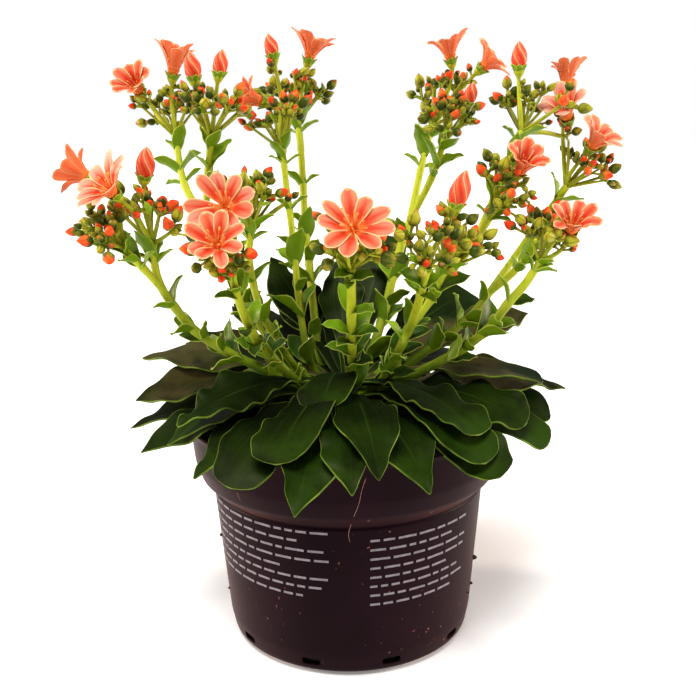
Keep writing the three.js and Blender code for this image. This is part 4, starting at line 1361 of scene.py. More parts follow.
@dataclass(frozen=True)
class PotPlastic:
    """Dark purple-brown moulded plastic, a little scuffed and dusty."""

    dark: str = "10050c"
    light: str = "1a0a12"
    dust: str = "a86e5a"
    sheen: float = 0.24

    def material(self) -> Material:
        """Makes the material.

        Returns:
            The material.
        """
        bench = Bench("pot_plastic")
        clouds = bench.noise(22, 4)
        bench.base(clouds.step(0.35, 0.7), self.dark, self.light)
        hairs = bench.noise(1.6, 2, bench.stretched((220, 220, 26)))
        flecks = bench.noise(620, 1).step(0.735, 0.78) * bench.noise(31, 1).step(0.52, 0.62)
        marks = flecks.sum("MAXIMUM", hairs.step(0.735, 0.76) * 0.35)
        bench.over(marks * 0.6, self.dust)
        bench.bump(bench.noise(900, 2) + hairs * 0.6, 0.12, 0.2)
        sheen = {"Sheen_Weight": self.sheen, "Sheen_Roughness": 0.4, "Sheen_Tint": shade(self.dust)}
        return bench.finish(clouds * 0.16 + 0.36, IOR=1.12, Specular_Tint=WARM_BROWN, **sheen)


@dataclass(frozen=True)
class PottingSoil:
    """Dark peaty soil."""

    dark: str = "1d140d"
    light: str = "4a3423"

    def material(self) -> Material:
        """Makes the material.

        Returns:
            The material.
        """
        bench = Bench("potting_soil")
        grains = bench.noise(420, 5)
        bench.base(grains.step(0.35, 0.7), self.dark, self.light)
        bench.bump(grains, 0.8, 1.2)
        return bench.finish(0.95)


@dataclass(frozen=True)
class LeafSkin:
    """Fleshy dark green blade with a thin pale margin. A tone over 1 is an olive-brown face."""

    dark: str = "040b01"
    mid: str = "0f1e02"
    bright: str = "2c4608"
    olive: str = "51472a"
    back: str = "223209"
    margin: str = "76902f"
    rib: str = "335013"

    def material(self) -> Material:
        """Makes the material.

        Returns:
            The material.
        """
        bench = Bench("leaf_skin")
        across, along = bench.map_place()
        tone = bench.mark("tone")
        patches = bench.noise(46, 3)
        bench.base((tone * 0.55 + patches * 0.5).step(0.15, 0.85), self.dark, self.mid)
        bench.over(along.step(0.5, 1.0) * patches.step(0.3, 0.7) * 0.55, self.bright)
        bench.over(tone.step(1.0, 1.3) * patches.step(0.3, 0.55) * 0.75, self.olive)
        rib = across.off_middle().step(0.008, 0.03).rest() * along.step(0.55, 0.95).rest()
        bench.over(rib * 0.45, self.rib)
        bench.over(bench.mark("under"), self.back)
        edge = bench.mark("rim").step(0.03, 0.3).rest()
        bench.over(edge * bench.noise(90, 2).step(0.2, 0.75), self.margin)
        fibres = bench.noise(1.0, 4, bench.stretched((30, 5, 7), across, along, tone))
        bench.over(fibres.step(0.42, 0.75) * 0.13, self.rib)
        bench.over(bench.noise(130, 4).step(0.5, 0.72) * 0.4, self.dark)
        veins = bench.noise(260, 3, bench.stretched((1, 1, 2)))
        bench.bump(patches * 1.4 + veins * 0.35, 0.22, 0.9)
        return bench.finish(veins * 0.16 + 0.38, IOR=1.17, Specular_Tint=WARM_GREEN)


@dataclass(frozen=True)
class StemSkin:
    """Yellow-green stem, partly painted darker low down as shade among the leaves, and browner where its tone
    mark is high.
    """

    low: str = "45640a"
    high: str = "b9c22c"
    brown: str = "57500f"

    def material(self) -> Material:
        """Makes the material.

        Returns:
            The material.
        """
        bench = Bench("stem_skin")
        height = bench.parts_of(bench.place)[2]
        # The stem runs from dark green low down to pale yellow-green higher up: partly its own colour, partly
        # painted shade on the lower stem among the leaves.
        bench.base((height + bench.noise(120, 3) * 0.03).step(0.105, 0.165), self.low, self.high)
        streaks = bench.noise(1, 2, bench.stretched((900, 900, 90)))
        bench.over(streaks.step(0.5, 0.7) * 0.3, self.low)
        # Brown by the tone mark, which is high on bud branches and bud stalks: partly their own brown, partly
        # painted shade inside the heads.
        bench.over(bench.mark("tone"), self.brown)
        bench.bump(streaks, 0.15, 0.3)
        return bench.finish(0.45, IOR=1.3, Subsurface_Weight=0.08, **GREEN_GLOW)


@dataclass(frozen=True)
class BractSkin:
    """Bright green small leaf with a pale margin."""

    low: str = "264705"
    high: str = "7ba313"
    back: str = "6b8c14"
    margin: str = "b0c14c"

    def material(self) -> Material:
        """Makes the material.

        Returns:
            The material.
        """
        bench = Bench("bract_skin")
        _, along = bench.map_place()
        clouds = bench.noise(150, 3)
        height = bench.parts_of(bench.place)[2]
        # The height term makes bracts darker low down and brighter higher up: partly their own colour, partly
        # painted shade low among the leaves. The tone and the clouds vary at random.
        share = bench.mark("tone") * 0.6 + clouds + (height.step(0.095, 0.19) * 0.85 - 0.4)
        bench.base(share.step(0.35, 1.15), self.low, self.high)
        bench.over(along.step(0.0, 0.3).rest() * 0.6, self.back)
        bench.over(bench.mark("under") * 0.7, self.back)
        bench.over(bench.mark("rim").step(0.03, 0.26).rest() * (clouds * 0.7 + 0.3), self.margin)
        bench.bump(clouds, 0.2, 0.4)
        return bench.finish(0.42, IOR=1.28, Subsurface_Weight=0.06, **GREEN_GLOW)


@dataclass(frozen=True)
class BudSkin:
    """Green sepals round folded petals that show orange-red at the tip of a ripe bud."""

    green: str = "36460a"
    pale: str = "aeab2a"
    lip: str = "80501f"
    red: str = "e23c18"
    orange: str = "ee7428"

    def material(self) -> Material:
        """Makes the material.

        Returns:
            The material.
        """
        bench = Bench("bud_skin")
        across, along = bench.map_place()
        ripe = bench.mark("ripe")
        clouds = bench.noise(340, 2)
        own = (ripe * 7.3).sum("FRACT")
        # Each bud runs darker towards its foot: partly its own colour, partly painted shade deep in the head.
        # The clouds and each bud's own share vary at random.
        pale = clouds * 0.7 + along * 0.45 + (own * 0.5 - 0.27)
        bench.base(pale.step(0.34, 0.8), self.green, self.pale)
        # The sepals part at two seams, and their lips dip between their points, twice round the bud
        from_seam = across.off_middle()
        bench.over(from_seam.step(0.03, 0.14).rest() * 0.6, self.green)
        line = along - from_seam * 0.42 + (ripe.step(0.4, 1.0) * 0.74 - 0.12)
        bench.over(line.step(0.62, 0.8) * 0.7, self.lip)
        bench.over(line.step(0.8, 0.86), bench.blend(clouds.step(0.4, 0.7), self.red, self.orange))
        bench.bump(clouds, 0.2, 0.3)
        return bench.finish(0.4, IOR=1.3, Subsurface_Weight=0.05, **GREEN_GLOW)


@dataclass(frozen=True)
class PetalSkin:
    """Coral petal with a deep middle stripe, fine veins and a pale margin. Tone is its blush."""

    coral: str = "dd4a25"
    deep: str = "cc2410"
    pink: str = "dd8763"
    pale: str = "e9b09c"
    back: str = "ea7440"
    margin: str = "f3d094"
    throat: str = "f57a30"

    def material(self) -> Material:
        """Makes the material.

        Returns:
            The material.
        """
        bench = Bench("petal_skin")
        across, along = bench.map_place()
        tone, under = bench.mark("tone"), bench.mark("under")
        off_middle = across.off_middle()
        veins = bench.noise(1.0, 2, bench.stretched((13, 1.6, 1), across, along, tone))
        outer = off_middle.step(0.04, 0.42) + (tone * 0.6 + 0.15)
        flush = outer * along.step(0.22, 0.72)
        bench.base(flush.sum("MINIMUM", 1), self.coral, self.pink)
        bench.over(tone.step(0.3, 1.0) * along.step(0.35, 0.95) * 0.85, self.pale)
        stripe = off_middle.step(0.03, 0.24).rest() * along.step(0.42, 0.98).rest()
        bench.over(stripe * veins.step(0.3, 0.55) * 0.85, self.deep)
        fine = bench.noise(1.0, 1, bench.stretched((24, 1.0, 3), across, along, tone))
        bench.over(fine.step(0.48, 0.66) * 0.42, self.coral)
        bench.over(along.step(0.04, 0.24).rest(), self.throat)
        bench.over(under * 0.65, self.back)
        edge = bench.mark("rim").step(0.0, 0.75).rest() * (under * -0.75 + 0.9)
        bench.over(edge, self.margin)
        bench.bump(veins, 0.1, 0.2)
        return bench.finish(0.5, IOR=1.26, Subsurface_Weight=0.1, **CORAL_GLOW)


@dataclass(frozen=True)
class PlainTone:
    """A small part's finish: one colour that wanders a little."""

    name: str
    first: str
    second: str

    def material(self) -> Material:
        """Makes the material.

        Returns:
            The material.
        """
        bench = Bench(self.name)
        bench.base(bench.noise(500, 2).step(0.35, 0.65), self.first, self.second)
        return bench.finish(0.5)


class Finishes:
    """The finishes of the whole plant, each made once."""

    def __init__(self) -> None:
        """Makes every material."""
        self.pot = PotPlastic().material()
        self.soil = PottingSoil().material()
        self.leaf = LeafSkin().material()
        self.stem = StemSkin().material()
        self.bract = BractSkin().material()
        self.bud = BudSkin().material()
        self.petal = PetalSkin().material()
        self.stamen = PlainTone("stamen_skin", "f07a30", "f8a84c").material()
        self.root = PlainTone("root_skin", "8a5a48", "a87860").material()
        self.ink = PlainTone("print_ink", "6e6770", "817a80").material()


# Pieces stood by geometry nodes


def in_scene(name: str, data: object) -> Object:
    """Puts a new object in the scene.

    Args:
        name: Its name.
        data: Its mesh, light or camera.

    Returns:
        The object.
    """
    made = bpy.data.objects.new(name, data)
    bpy.context.scene.collection.objects.link(made)
    return made


def drop(thing: Object) -> None:
    """Removes an object that only helped to make another, with its mesh.

    Args:
        thing: The object.
    """
    mesh = thing.data
    bpy.data.objects.remove(thing)
    bpy.data.meshes.remove(mesh)


def plain_copy(host: Object, name: str) -> Object:
    """Turns what an object's modifiers give into a plain mesh, and removes the object.

    Args:
        host: The object with live modifiers.
        name: The new object's name.

    Returns:
        The new object, at the origin.
    """
    graph = bpy.context.evaluated_depsgraph_get()
    live = host.evaluated_get(graph)
    mesh = bpy.data.meshes.new_from_object(live, preserve_all_data_layers=True, depsgraph=graph)
    mesh.name = name
    drop(host)
    return in_scene(name, mesh)


def dressed_for(made: Object, slot: str, *nodes: str) -> Object:
    """Puts a finished piece in the frame.

    Args:
        made: The piece.
        slot: The record's material slot that its finish belongs to. It is not used.
        nodes: The solids that it stands for.

    Returns:
        The piece.
    """
    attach(made, "root")
    if nodes:
        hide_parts(*nodes)
    LOG.info("%s: %d faces", made.name, len(made.data.polygons))
    return made


class StandingTree(NodeBench):
    """A geometry-nodes tree that stands one small shape on points, with named inputs."""

    def __init__(self, name: str, shape: Object, finish: Material, **values: tuple[str, object]) -> None:
        """Starts the tree with its inputs.

        Args:
            name: Name of the piece that it makes.
            shape: The shape that it stands.
            finish: What it dresses the shapes in.
            values: Kind and value of each further input.
        """
        super().__init__(bpy.data.node_groups.new(f"{name}_tree", "GeometryNodeTree"))
        self.name = name
        self.values: dict[str, object] = {}
        sockets = self.tree.interface
        sockets.new_socket(name="Host", in_out="INPUT", socket_type="NodeSocketGeometry")
        named = {"Shape": ("Object", shape), "Finish": ("Material", finish), **values}
        for label, (kind, value) in named.items():
            made = sockets.new_socket(name=label, in_out="INPUT", socket_type=f"NodeSocket{kind}")
            self.values[made.identifier] = value
        sockets.new_socket(name="Pieces", in_out="OUTPUT", socket_type="NodeSocketGeometry")
        self.start = self.node("NodeGroupInput").outputs

    def stood_on(self, points: NodeSocket, rotation: NodeSocket, scale: NodeSocket) -> None:
        """Ends the tree: stands the shape on points, makes the copies real and dresses them.

        Args:
            points: The points.
            rotation: How the shape is turned on each.
            scale: How large it is on each.
        """
        inputs = {"Object": self.start["Shape"], "As Instance": True}
        shape = self.node("GeometryNodeObjectInfo", inputs).outputs["Geometry"]
        inputs = {"Points": points, "Instance": shape, "Rotation": rotation, "Scale": scale}
        stood = self.node("GeometryNodeInstanceOnPoints", inputs).outputs["Instances"]
        real = self.node("GeometryNodeRealizeInstances", {"Geometry": stood}).outputs["Geometry"]
        inputs = {"Geometry": real, "Material": self.start["Finish"]}
        dressed = self.node("GeometryNodeSetMaterial", inputs).outputs["Geometry"]
        self.node("NodeGroupOutput", {"Pieces": dressed})

    def run(self, host: Object) -> Object:
        """Runs the tree on a host, which is used up, and gives one plain mesh of all the pieces.

        Args:
            host: The host.

        Returns:
            The mesh's object.
        """
        modifier = host.modifiers.new("stood", "NODES")
        modifier.node_group = self.tree
        for identifier, value in self.values.items():
            modifier[identifier] = value
        return plain_copy(host, self.name)


@dataclass
class Stand:
    """Where one piece stands: its place, the ways its top and its side lie, and its scale."""

    place: Array
    aim: Array
    lie: Array
    span: Triple
    ripe: float = 0.0


@dataclass
class StoodPieces:
    """One small shape stood on every given place by geometry nodes."""

    name: str
    shape: Object
    finish: Material
    size: float = 1.0

    def stand(self, stands: list[Stand]) -> Object:
        """Stands the shape on every place.

        Args:
            stands: The places in millimetres.

        Returns:
            One plain mesh of all the pieces.
        """
        mesh = bpy.data.meshes.new(f"{self.name}_points")
        mesh.from_pydata([(stand.place * METRE).tolist() for stand in stands], [], [])
        for mark in ("aim", "lie", "span"):
            values = np.array([getattr(stand, mark) for stand in stands], np.float32)
            mesh.attributes.new(mark, "FLOAT_VECTOR", "POINT").data.foreach_set("vector", values.ravel())
        ripe = np.array([stand.ripe for stand in stands], np.float32)
        mesh.attributes.new("ripe", "FLOAT", "POINT").data.foreach_set("value", ripe)
        return self.tree().run(in_scene(f"{self.name}_host", mesh))

    def tree(self) -> StandingTree:
        """Builds the tree, which turns each shape's top to aim and its side to lie.

        Returns:
            The tree.
        """
        tree = StandingTree(self.name, self.shape, self.finish, Size=("Float", self.size))
        marks = [
            tree.node("GeometryNodeInputNamedAttribute", {"Name": mark}, data_type="FLOAT_VECTOR")
            for mark in ("aim", "lie", "span")
        ]
        aim, lie, span = (mark.outputs["Attribute"] for mark in marks)
        align = "FunctionNodeAlignRotationToVector"
        upright = tree.node(align, {"Vector": aim}, axis="Z").outputs["Rotation"]
        inputs = {"Rotation": upright, "Vector": lie}
        turned_round = tree.node(align, inputs, axis="X", pivot_axis="Z").outputs["Rotation"]
        inputs = {0: span, "Scale": tree.start["Size"]}
        scale = tree.node("ShaderNodeVectorMath", inputs, operation="SCALE").outputs[0]
        tree.stood_on(tree.start["Host"], turned_round, scale)
        return tree


@dataclass
class ScatteredCrumbs:
    """Crumbs scattered over a surface by geometry nodes with a fixed seed."""

    name: str
    crumb: Object
    finish: Material
    density: float = 60000.0
    smallest: float = 0.5
    largest: float = 1.5
    seed: int = 7

    def scatter(self, host: Object) -> Object:
        """Scatters the crumbs.

        Args:
            host: A bare copy of the surface, which is used up.

        Returns:
            One plain mesh of all the crumbs.
        """
        tree = StandingTree(
            self.name, self.crumb, self.finish, Density=("Float", self.density),
            Smallest=("Float", self.smallest), Largest=("Float", self.largest), Seed=("Int", self.seed),
        )
        start = tree.start
        inputs = {"Mesh": start["Host"], "Density": start["Density"], "Seed": start["Seed"]}
        spots = tree.node("GeometryNodeDistributePointsOnFaces", inputs).outputs["Points"]
        inputs = {2: start["Smallest"], 3: start["Largest"], "Seed": start["Seed"]}
        size = tree.node("FunctionNodeRandomValue", inputs).outputs[1]
        inputs = {1: (FULL_TURN,) * 3, "Seed": start["Seed"]}
        turn = tree.node("FunctionNodeRandomValue", inputs, data_type="FLOAT_VECTOR").outputs[0]
        tree.stood_on(spots, turn, size)
        return tree.run(host)


# Pot and soil


def rounded(profile: Array, radius: float, steps: int = 4) -> Array:
    """Rounds the corners of an open outline.

    Args:
        profile: Corners, as radius and height pairs.
        radius: How far from a corner its round starts, at most.
        steps: Spans in each round.

    Returns:
        The rounded outline.
    """
    made = [profile[0]]
    for before, corner, after in zip(profile, profile[1:], profile[2:]):
        reach = min(radius, 0.45 * np.linalg.norm(corner - before), 0.45 * np.linalg.norm(after - corner))
        start, end = (corner + unit(other - corner) * reach for other in (before, after))
        made.extend(bent_line(start, corner, end, np.linspace(0, 1, steps + 1)))
    return np.array([*made, profile[-1]])


def turned(shell: Shell, profile: Array, sides: int) -> None:
    """Adds an outline turned round the upright axis to a shell, closed at both ends.

    Args:
        shell: The shell.
        profile: Radius and height pairs, from the underside up the outside and down the inside.
        sides: Sides of the round.
    """
    angle = even_angles(sides)
    ring = round_ways(RIGHT, AWAY, angle)
    rings = ring[None] * profile[:, 0, None, None] + UP * profile[:, 1, None, None]
    shape = rings.shape[:2]
    places = marked(shape, angle / FULL_TURN, np.linspace(0, 1, len(profile))[:, None])
    shell.skin(rings, places, marked(shape, FAR_FROM_RIM, 0, 0))


@dataclass
class NurseryPot:
    """The thin moulded pot, with drain holes at its foot and plain lines of print."""

    finishes: Finishes
    sides: int = 144
    floor: float = 2.0
    wall: float = 1.5
    corner: float = 1.1
    sharp: float = 40.0
    holes: int = 10
    hole_width: float = 7.0
    hole_height: float = 3.0
    hole_rise: float = 5.4
    hole_reach: Pair = (43.0, 52.0)
    print_thick: float = 0.12
    line_height: float = 0.85
    line_pitch: float = 3.55
    word_length: Pair = (2.4, 7.5)
    word_gap: float = 1.3
    print_blocks: tuple[Triple, ...] = ((-74, -8, 57.5), (8, 55, 54.5))
    print_lines: int = 8
    short_line: Pair = (0.7, 0.95)
    end_space: float = 3.0
    seed: int = 90

    def build(self) -> None:
        """Makes the pot and its print."""
        shell = Shell("pot_shell")
        ends = [(POT_INSIDE[-1][0] - self.wall, self.floor), (AXIS_GAP, self.floor)]
        profile = np.array([(AXIS_GAP, 0), *POT_OUTSIDE, *POT_INSIDE, *ends], float)
        turned(shell, rounded(profile, self.corner), self.sides)
        pot = shell.piece(self.finishes.pot)
        self.cut_holes(pot)
        dressed_for(plain_copy(pot, "nursery_pot"), "pot_plastic", "pot")
        dressed_for(self.print_rows(), "pot_plastic")

    def cut_holes(self, pot: Object) -> None:
        """Cuts the drain holes with a modifier.

        Args:
            pot: The uncut pot.
        """
        cutter = Shell("drain_cutter")
        corners = FULL_TURN * (np.arange(16) + 0.5) / 16
        wide, tall = (np.sign(part) * np.abs(part) ** 0.5 / 2 for part in (np.cos(corners), np.sin(corners)))
        for index in range(self.holes):
            outward, side = bearing(FULL_TURN * (index + 0.5) / self.holes)
            outline = side * (wide * self.hole_width)[:, None] + UP * (tall * self.hole_height)[:, None]
            outline += UP * self.hole_rise
            cutter.plain_skin(np.stack([outline + outward * reach for reach in self.hole_reach]))
        tool = cutter.piece(self.finishes.pot)
        modifier = pot.modifiers.new("holes", "BOOLEAN")
        modifier.object, modifier.operation, modifier.solver = tool, "DIFFERENCE", "EXACT"
        graph = bpy.context.evaluated_depsgraph_get()
        cut = bpy.data.meshes.new_from_object(pot.evaluated_get(graph), depsgraph=graph)
        pot.modifiers.clear()
        pot.data = cut
        cut.set_sharp_from_angle(angle=math.radians(self.sharp))
        drop(tool)

    def print_rows(self) -> Object:
        """Rows of short plain bars that follow the wall.

        Returns:
            One plain mesh of all the bars.
        """
        draw = Draw(self.seed)
        low, high = np.array(POT_OUTSIDE[2], float), np.array(POT_OUTSIDE[3], float)
        lean = math.atan2(high[0] - low[0], high[1] - low[1])
        stands = []
        for first, last, top in self.print_blocks:
            for line in range(self.print_lines):
                height = top - self.line_pitch * line
                radius = float(np.interp(height, [low[1], high[1]], [low[0], high[0]]))
                end = last if line % 3 != 1 else first + (last - first) * draw.between(*self.short_line)
                at = first
                while at < end - self.end_space:
                    length = min(draw.between(*self.word_length), math.radians(end - at) * radius)
                    outward, side = bearing(math.radians(at) + length / 2 / radius)
                    aim = outward * math.cos(lean) - UP * math.sin(lean)
                    span = (length, self.line_height, self.print_thick)
                    stands.append(Stand(outward * radius + UP * height, aim, side, span))
                    at += math.degrees((length + self.word_gap) / radius)
        bar = self.bar()
        made = StoodPieces("print_bars", bar, self.finishes.ink).stand(stands)
        drop(bar)
        return made

    def bar(self) -> Object:
        """One flat-faced bar of print, a millimetre long and wide, that reaches into the wall.

        Returns:
            The bar.
        """
        shell = Shell("print_bar")
        # The rings grow along +X, so their corners turn left round it
        section = ((0.5, -0.9), (-0.5, -0.9), (-0.5, 0.5), (0.5, 0.5))
        shell.plain_skin(np.array([[[x, *corner] for corner in section] for x in np.linspace(-0.5, 0.5, 5)]))
        made = shell.piece(self.finishes.ink)
        made.data.shade_flat()
        return made


@dataclass
class WallDirt:
    """Crumbs of soil that stick to the pot's wall, and a fine root that hangs over its shoulder.

    Each crumb has its azimuth, its height and its size, and each point of the root the first two.
    """

    finishes: Finishes
    crumbs: tuple[Triple, ...] = (
        (77, 28.4, 2.2), (76, 17.8, 1.5), (69, 16.7, 1.0), (-77, 39.8, 1.3), (-76, 17.6, 1.1),
        (22, 9.6, 0.9), (-31, 12.2, 0.8), (118, 33, 1.5), (150, 21, 1.1), (-140, 27, 1.4),
    )
    crumb_radii: Floats = (0.4, 0.52, 0.5, 0.38, 0.12)
    root: tuple[Pair, ...] = (
        (5.6, 80.5), (4.3, 76.3), (3.4, 71.6), (1.8, 66.5), (0.6, 61.2), (-0.2, 57.4), (0.3, 54.6),
    )
    root_radius: float = 0.1
    root_steps: int = 36
    seed: int = 31

    def build(self) -> None:
        """Makes the crumbs and the root as one piece."""
        shell = Shell("wall_dirt")
        draw = Draw(self.seed)
        for azimuth, height, size in self.crumbs:
            place, outward = self.on_wall(azimuth, height, 0.15 * size)
            line = place + outward * np.linspace(-0.4, 0.5, len(self.crumb_radii))[:, None] * size
            tube(shell, line, size * np.array(self.crumb_radii) * draw.between(0.8, 1.1), 7)
        line = np.array([self.on_wall(azimuth, height, self.root_radius)[0] for azimuth, height in self.root])
        line = smooth_line(line, np.linspace(0, 1, self.root_steps))
        tube(shell, line, np.full(self.root_steps, self.root_radius), 5, slot=1)
        dressed_for(shell.piece(self.finishes.soil, self.finishes.root), "soil")

    def on_wall(self, azimuth: float, height: float, proud: float) -> tuple[Array, Array]:
        """A point that stands a little proud of the wall, and the way out of the wall there.

        Args:
            azimuth: The point's azimuth in degrees.
            height: Its height.
            proud: How far out of the wall it stands.

        Returns:
            The point and the way.
        """
        radii, heights = zip(*POT_OUTSIDE)
        outward, _ = bearing(math.radians(azimuth))
        return outward * (np.interp(height, heights, radii) + proud) + UP * height, outward


@dataclass
class PottedSoil:
    """Soil that fills the pot, with loose crumbs on top."""

    finishes: Finishes
    foot: float = 2.4
    top: float = 74.0
    lump: float = 1.6
    waves: int = 14
    wave_lengths: Pair = (5, 34)
    sides: int = 72
    rings: int = 16
    clear: float = 0.8
    seed: int = 5

    def build(self) -> None:
        """Makes the soil and its crumbs."""
        wall = [(POT_INSIDE[row][0] - self.clear, POT_INSIDE[row][1]) for row in (5, 4, 3, 2, 1)]
        edge, shoulder = wall[-1]
        profile = [(AXIS_GAP, self.foot), (wall[0][0] - 2, self.foot), *wall]
        profile += [(edge * (1 - k / self.rings) + 0.3, self.top) for k in range(self.rings)]
        shell = Shell("potting_soil")
        turned(shell, np.array(profile, float), self.sides)
        lifts = eased(shell.points()[:, 2], shoulder + 1, self.top) * self.heights(shell.points())
        for corner, lift in zip(shell.corners, lifts):
            corner[2] += lift
        soil = shell.piece(self.finishes.soil)
        surface = self.top_of(soil.data)
        crumb = self.crumb()
        crumbs = ScatteredCrumbs("soil_crumbs", crumb, self.finishes.soil).scatter(surface)
        drop(crumb)
        dressed_for(soil, "soil", "soil")
        dressed_for(crumbs, "soil")

    def heights(self, points: Array) -> Array:
        """Lumps of the soil's top.

        Args:
            points: Points of the soil.

        Returns:
            How far each point rises.
        """
        draw = Draw(self.seed)
        lift = np.zeros(len(points))
        for wave in range(self.waves):
            length = FULL_TURN / draw.between(*self.wave_lengths)
            angle, phase = draw.between(0, FULL_TURN), draw.between(0, FULL_TURN)
            way = points[:, 0] * math.cos(angle) + points[:, 1] * math.sin(angle)
            lift += np.sin(way * length + phase) / (1 + wave % 4)
        return lift / np.abs(lift).max() * self.lump

    def top_of(self, soil: bpy.types.Mesh) -> Object:
        """A bare copy of the soil's top, where crumbs lie.

        Args:
            soil: The soil's mesh.

        Returns:
            The copy.
        """
        mesh = bpy.data.meshes.new("crumb_surface")
        kept = [list(face.vertices) for face in soil.polygons if face.normal.z > 0.5]
        mesh.from_pydata([tuple(vertex.co) for vertex in soil.vertices], [], kept)
        return in_scene("crumb_surface", mesh)

    def crumb(self) -> Object:
        """One rough crumb of a millimetre.

        Returns:
            The crumb.
        """
        draw = Draw(self.seed + 1)
        shell = Shell("crumb_shape")
        turned(shell, np.array([(0.1, -0.5), (0.45, -0.25), (0.5, 0.15), (0.12, 0.5)]), 6)
        for corner in shell.corners:
            corner[:3] *= draw.between(0.7, 1.2)
        return shell.piece(self.finishes.soil)


# Leaves


def smooth_between(t: Array, stations: Floats, values: Floats) -> Array:
    """Smooth values between stations, without overshoot.

    Args:
        t: Where values are wanted.
        stations: Where values are known.
        values: The known values.

    Returns:
        One value for each place.
    """
    stations, values = np.array(stations), np.array(values)
    slopes = np.diff(values) / np.diff(stations)
    joint = np.zeros(len(values))
    same = slopes[:-1] * slopes[1:] > 0
    joint[1:-1][same] = 2 * slopes[:-1][same] * slopes[1:][same] / (slopes[:-1] + slopes[1:])[same]
    joint[0], joint[-1] = slopes[0], slopes[-1]
    place = np.clip(np.searchsorted(stations, t, side="right") - 1, 0, len(slopes) - 1)
    span = stations[place + 1] - stations[place]
    w = (t - stations[place]) / span
    low, high = values[place], values[place + 1]
    first, last = joint[place] * span, joint[place + 1] * span
    return (
        low * (1 + 2 * w) * (1 - w) ** 2 + first * w * (1 - w) ** 2
        + high * w * w * (3 - 2 * w) + last * w * w * (w - 1)
    )


class TipForm(Enum):
    """How a large leaf ends: in a point, or cut off bluntly."""

    POINTED = "pointed"
    BLUNT = "blunt"


BLUNT_LEAVES = (3, 4, 5, 6, 11, 13, 17, 18, 21, 23, 25, 28, 30, 32, 36, 38)
OLIVE_LEAVES = (20, 22, 23, 31, 32, 33, 34)
WAVY_LEAVES = (28, 29, 19, 21, 33, 36, 5)


@dataclass(frozen=True)
class LeafLook:
    """What one large leaf draws for itself: its outline, its waves and its tone."""

    form: TipForm
    widest: Pair
    ripple: float
    waves: tuple[Triple, ...]
    flip: int
    twist: float
    sway: float
    tone: float

    @staticmethod
    def drawn(index: int, draw: Draw) -> LeafLook:
        """Draws a leaf's look.

        Args:
            index: The leaf's number.
            draw: The rosette's draw.

        Returns:
            The look.
        """
        middle, skew = draw.between(0.64, 0.74), draw.between(-0.08, 0.08)
        blunt = index in BLUNT_LEAVES
        if blunt:
            middle, skew = 0.77, math.copysign(0.09, skew)
        return LeafLook(
            form=TipForm.BLUNT if blunt else TipForm.POINTED,
            widest=(middle + skew, middle - skew),
            ripple=draw.between(0.7, 1.25) * (1.8 if index in WAVY_LEAVES else 1.0),
            waves=tuple(
                (sign, draw.between(3.2, 7.6), draw.between(0, FULL_TURN)) for sign in (1, 1, -1, -1)
            ),
            flip=1 if index % 2 == 0 else -1,
            twist=draw.between(-0.05, 0.05),
            sway=draw.between(-1.6, 1.6),
            tone=draw.between(*((1.2, 1.5) if index in OLIVE_LEAVES else (0.0, 0.95))),
        )

    def half_share(self, t: Array, side: int) -> Array:
        """Share of the leaf's half width.

        Args:
            t: Shares of the way from root to tip.
            side: 0 for its right half, 1 for its left one.

        Returns:
            One share for each place.
        """
        widest = self.widest[side]
        if self.form is TipForm.POINTED:
            end = ((widest + 1) / 2, 0.6), (0.96, 0.2), (1.0, 0.03)
        else:
            end = (0.3 * widest + 0.7, 0.84), (0.985, 0.55), (1.0, 0.08)
        row = ((0, 0.17), (0.2, 0.25), (0.38, 0.5), (widest - 0.12, 0.9), (widest, 1.0), *end)
        return smooth_between(t, *zip(*row))


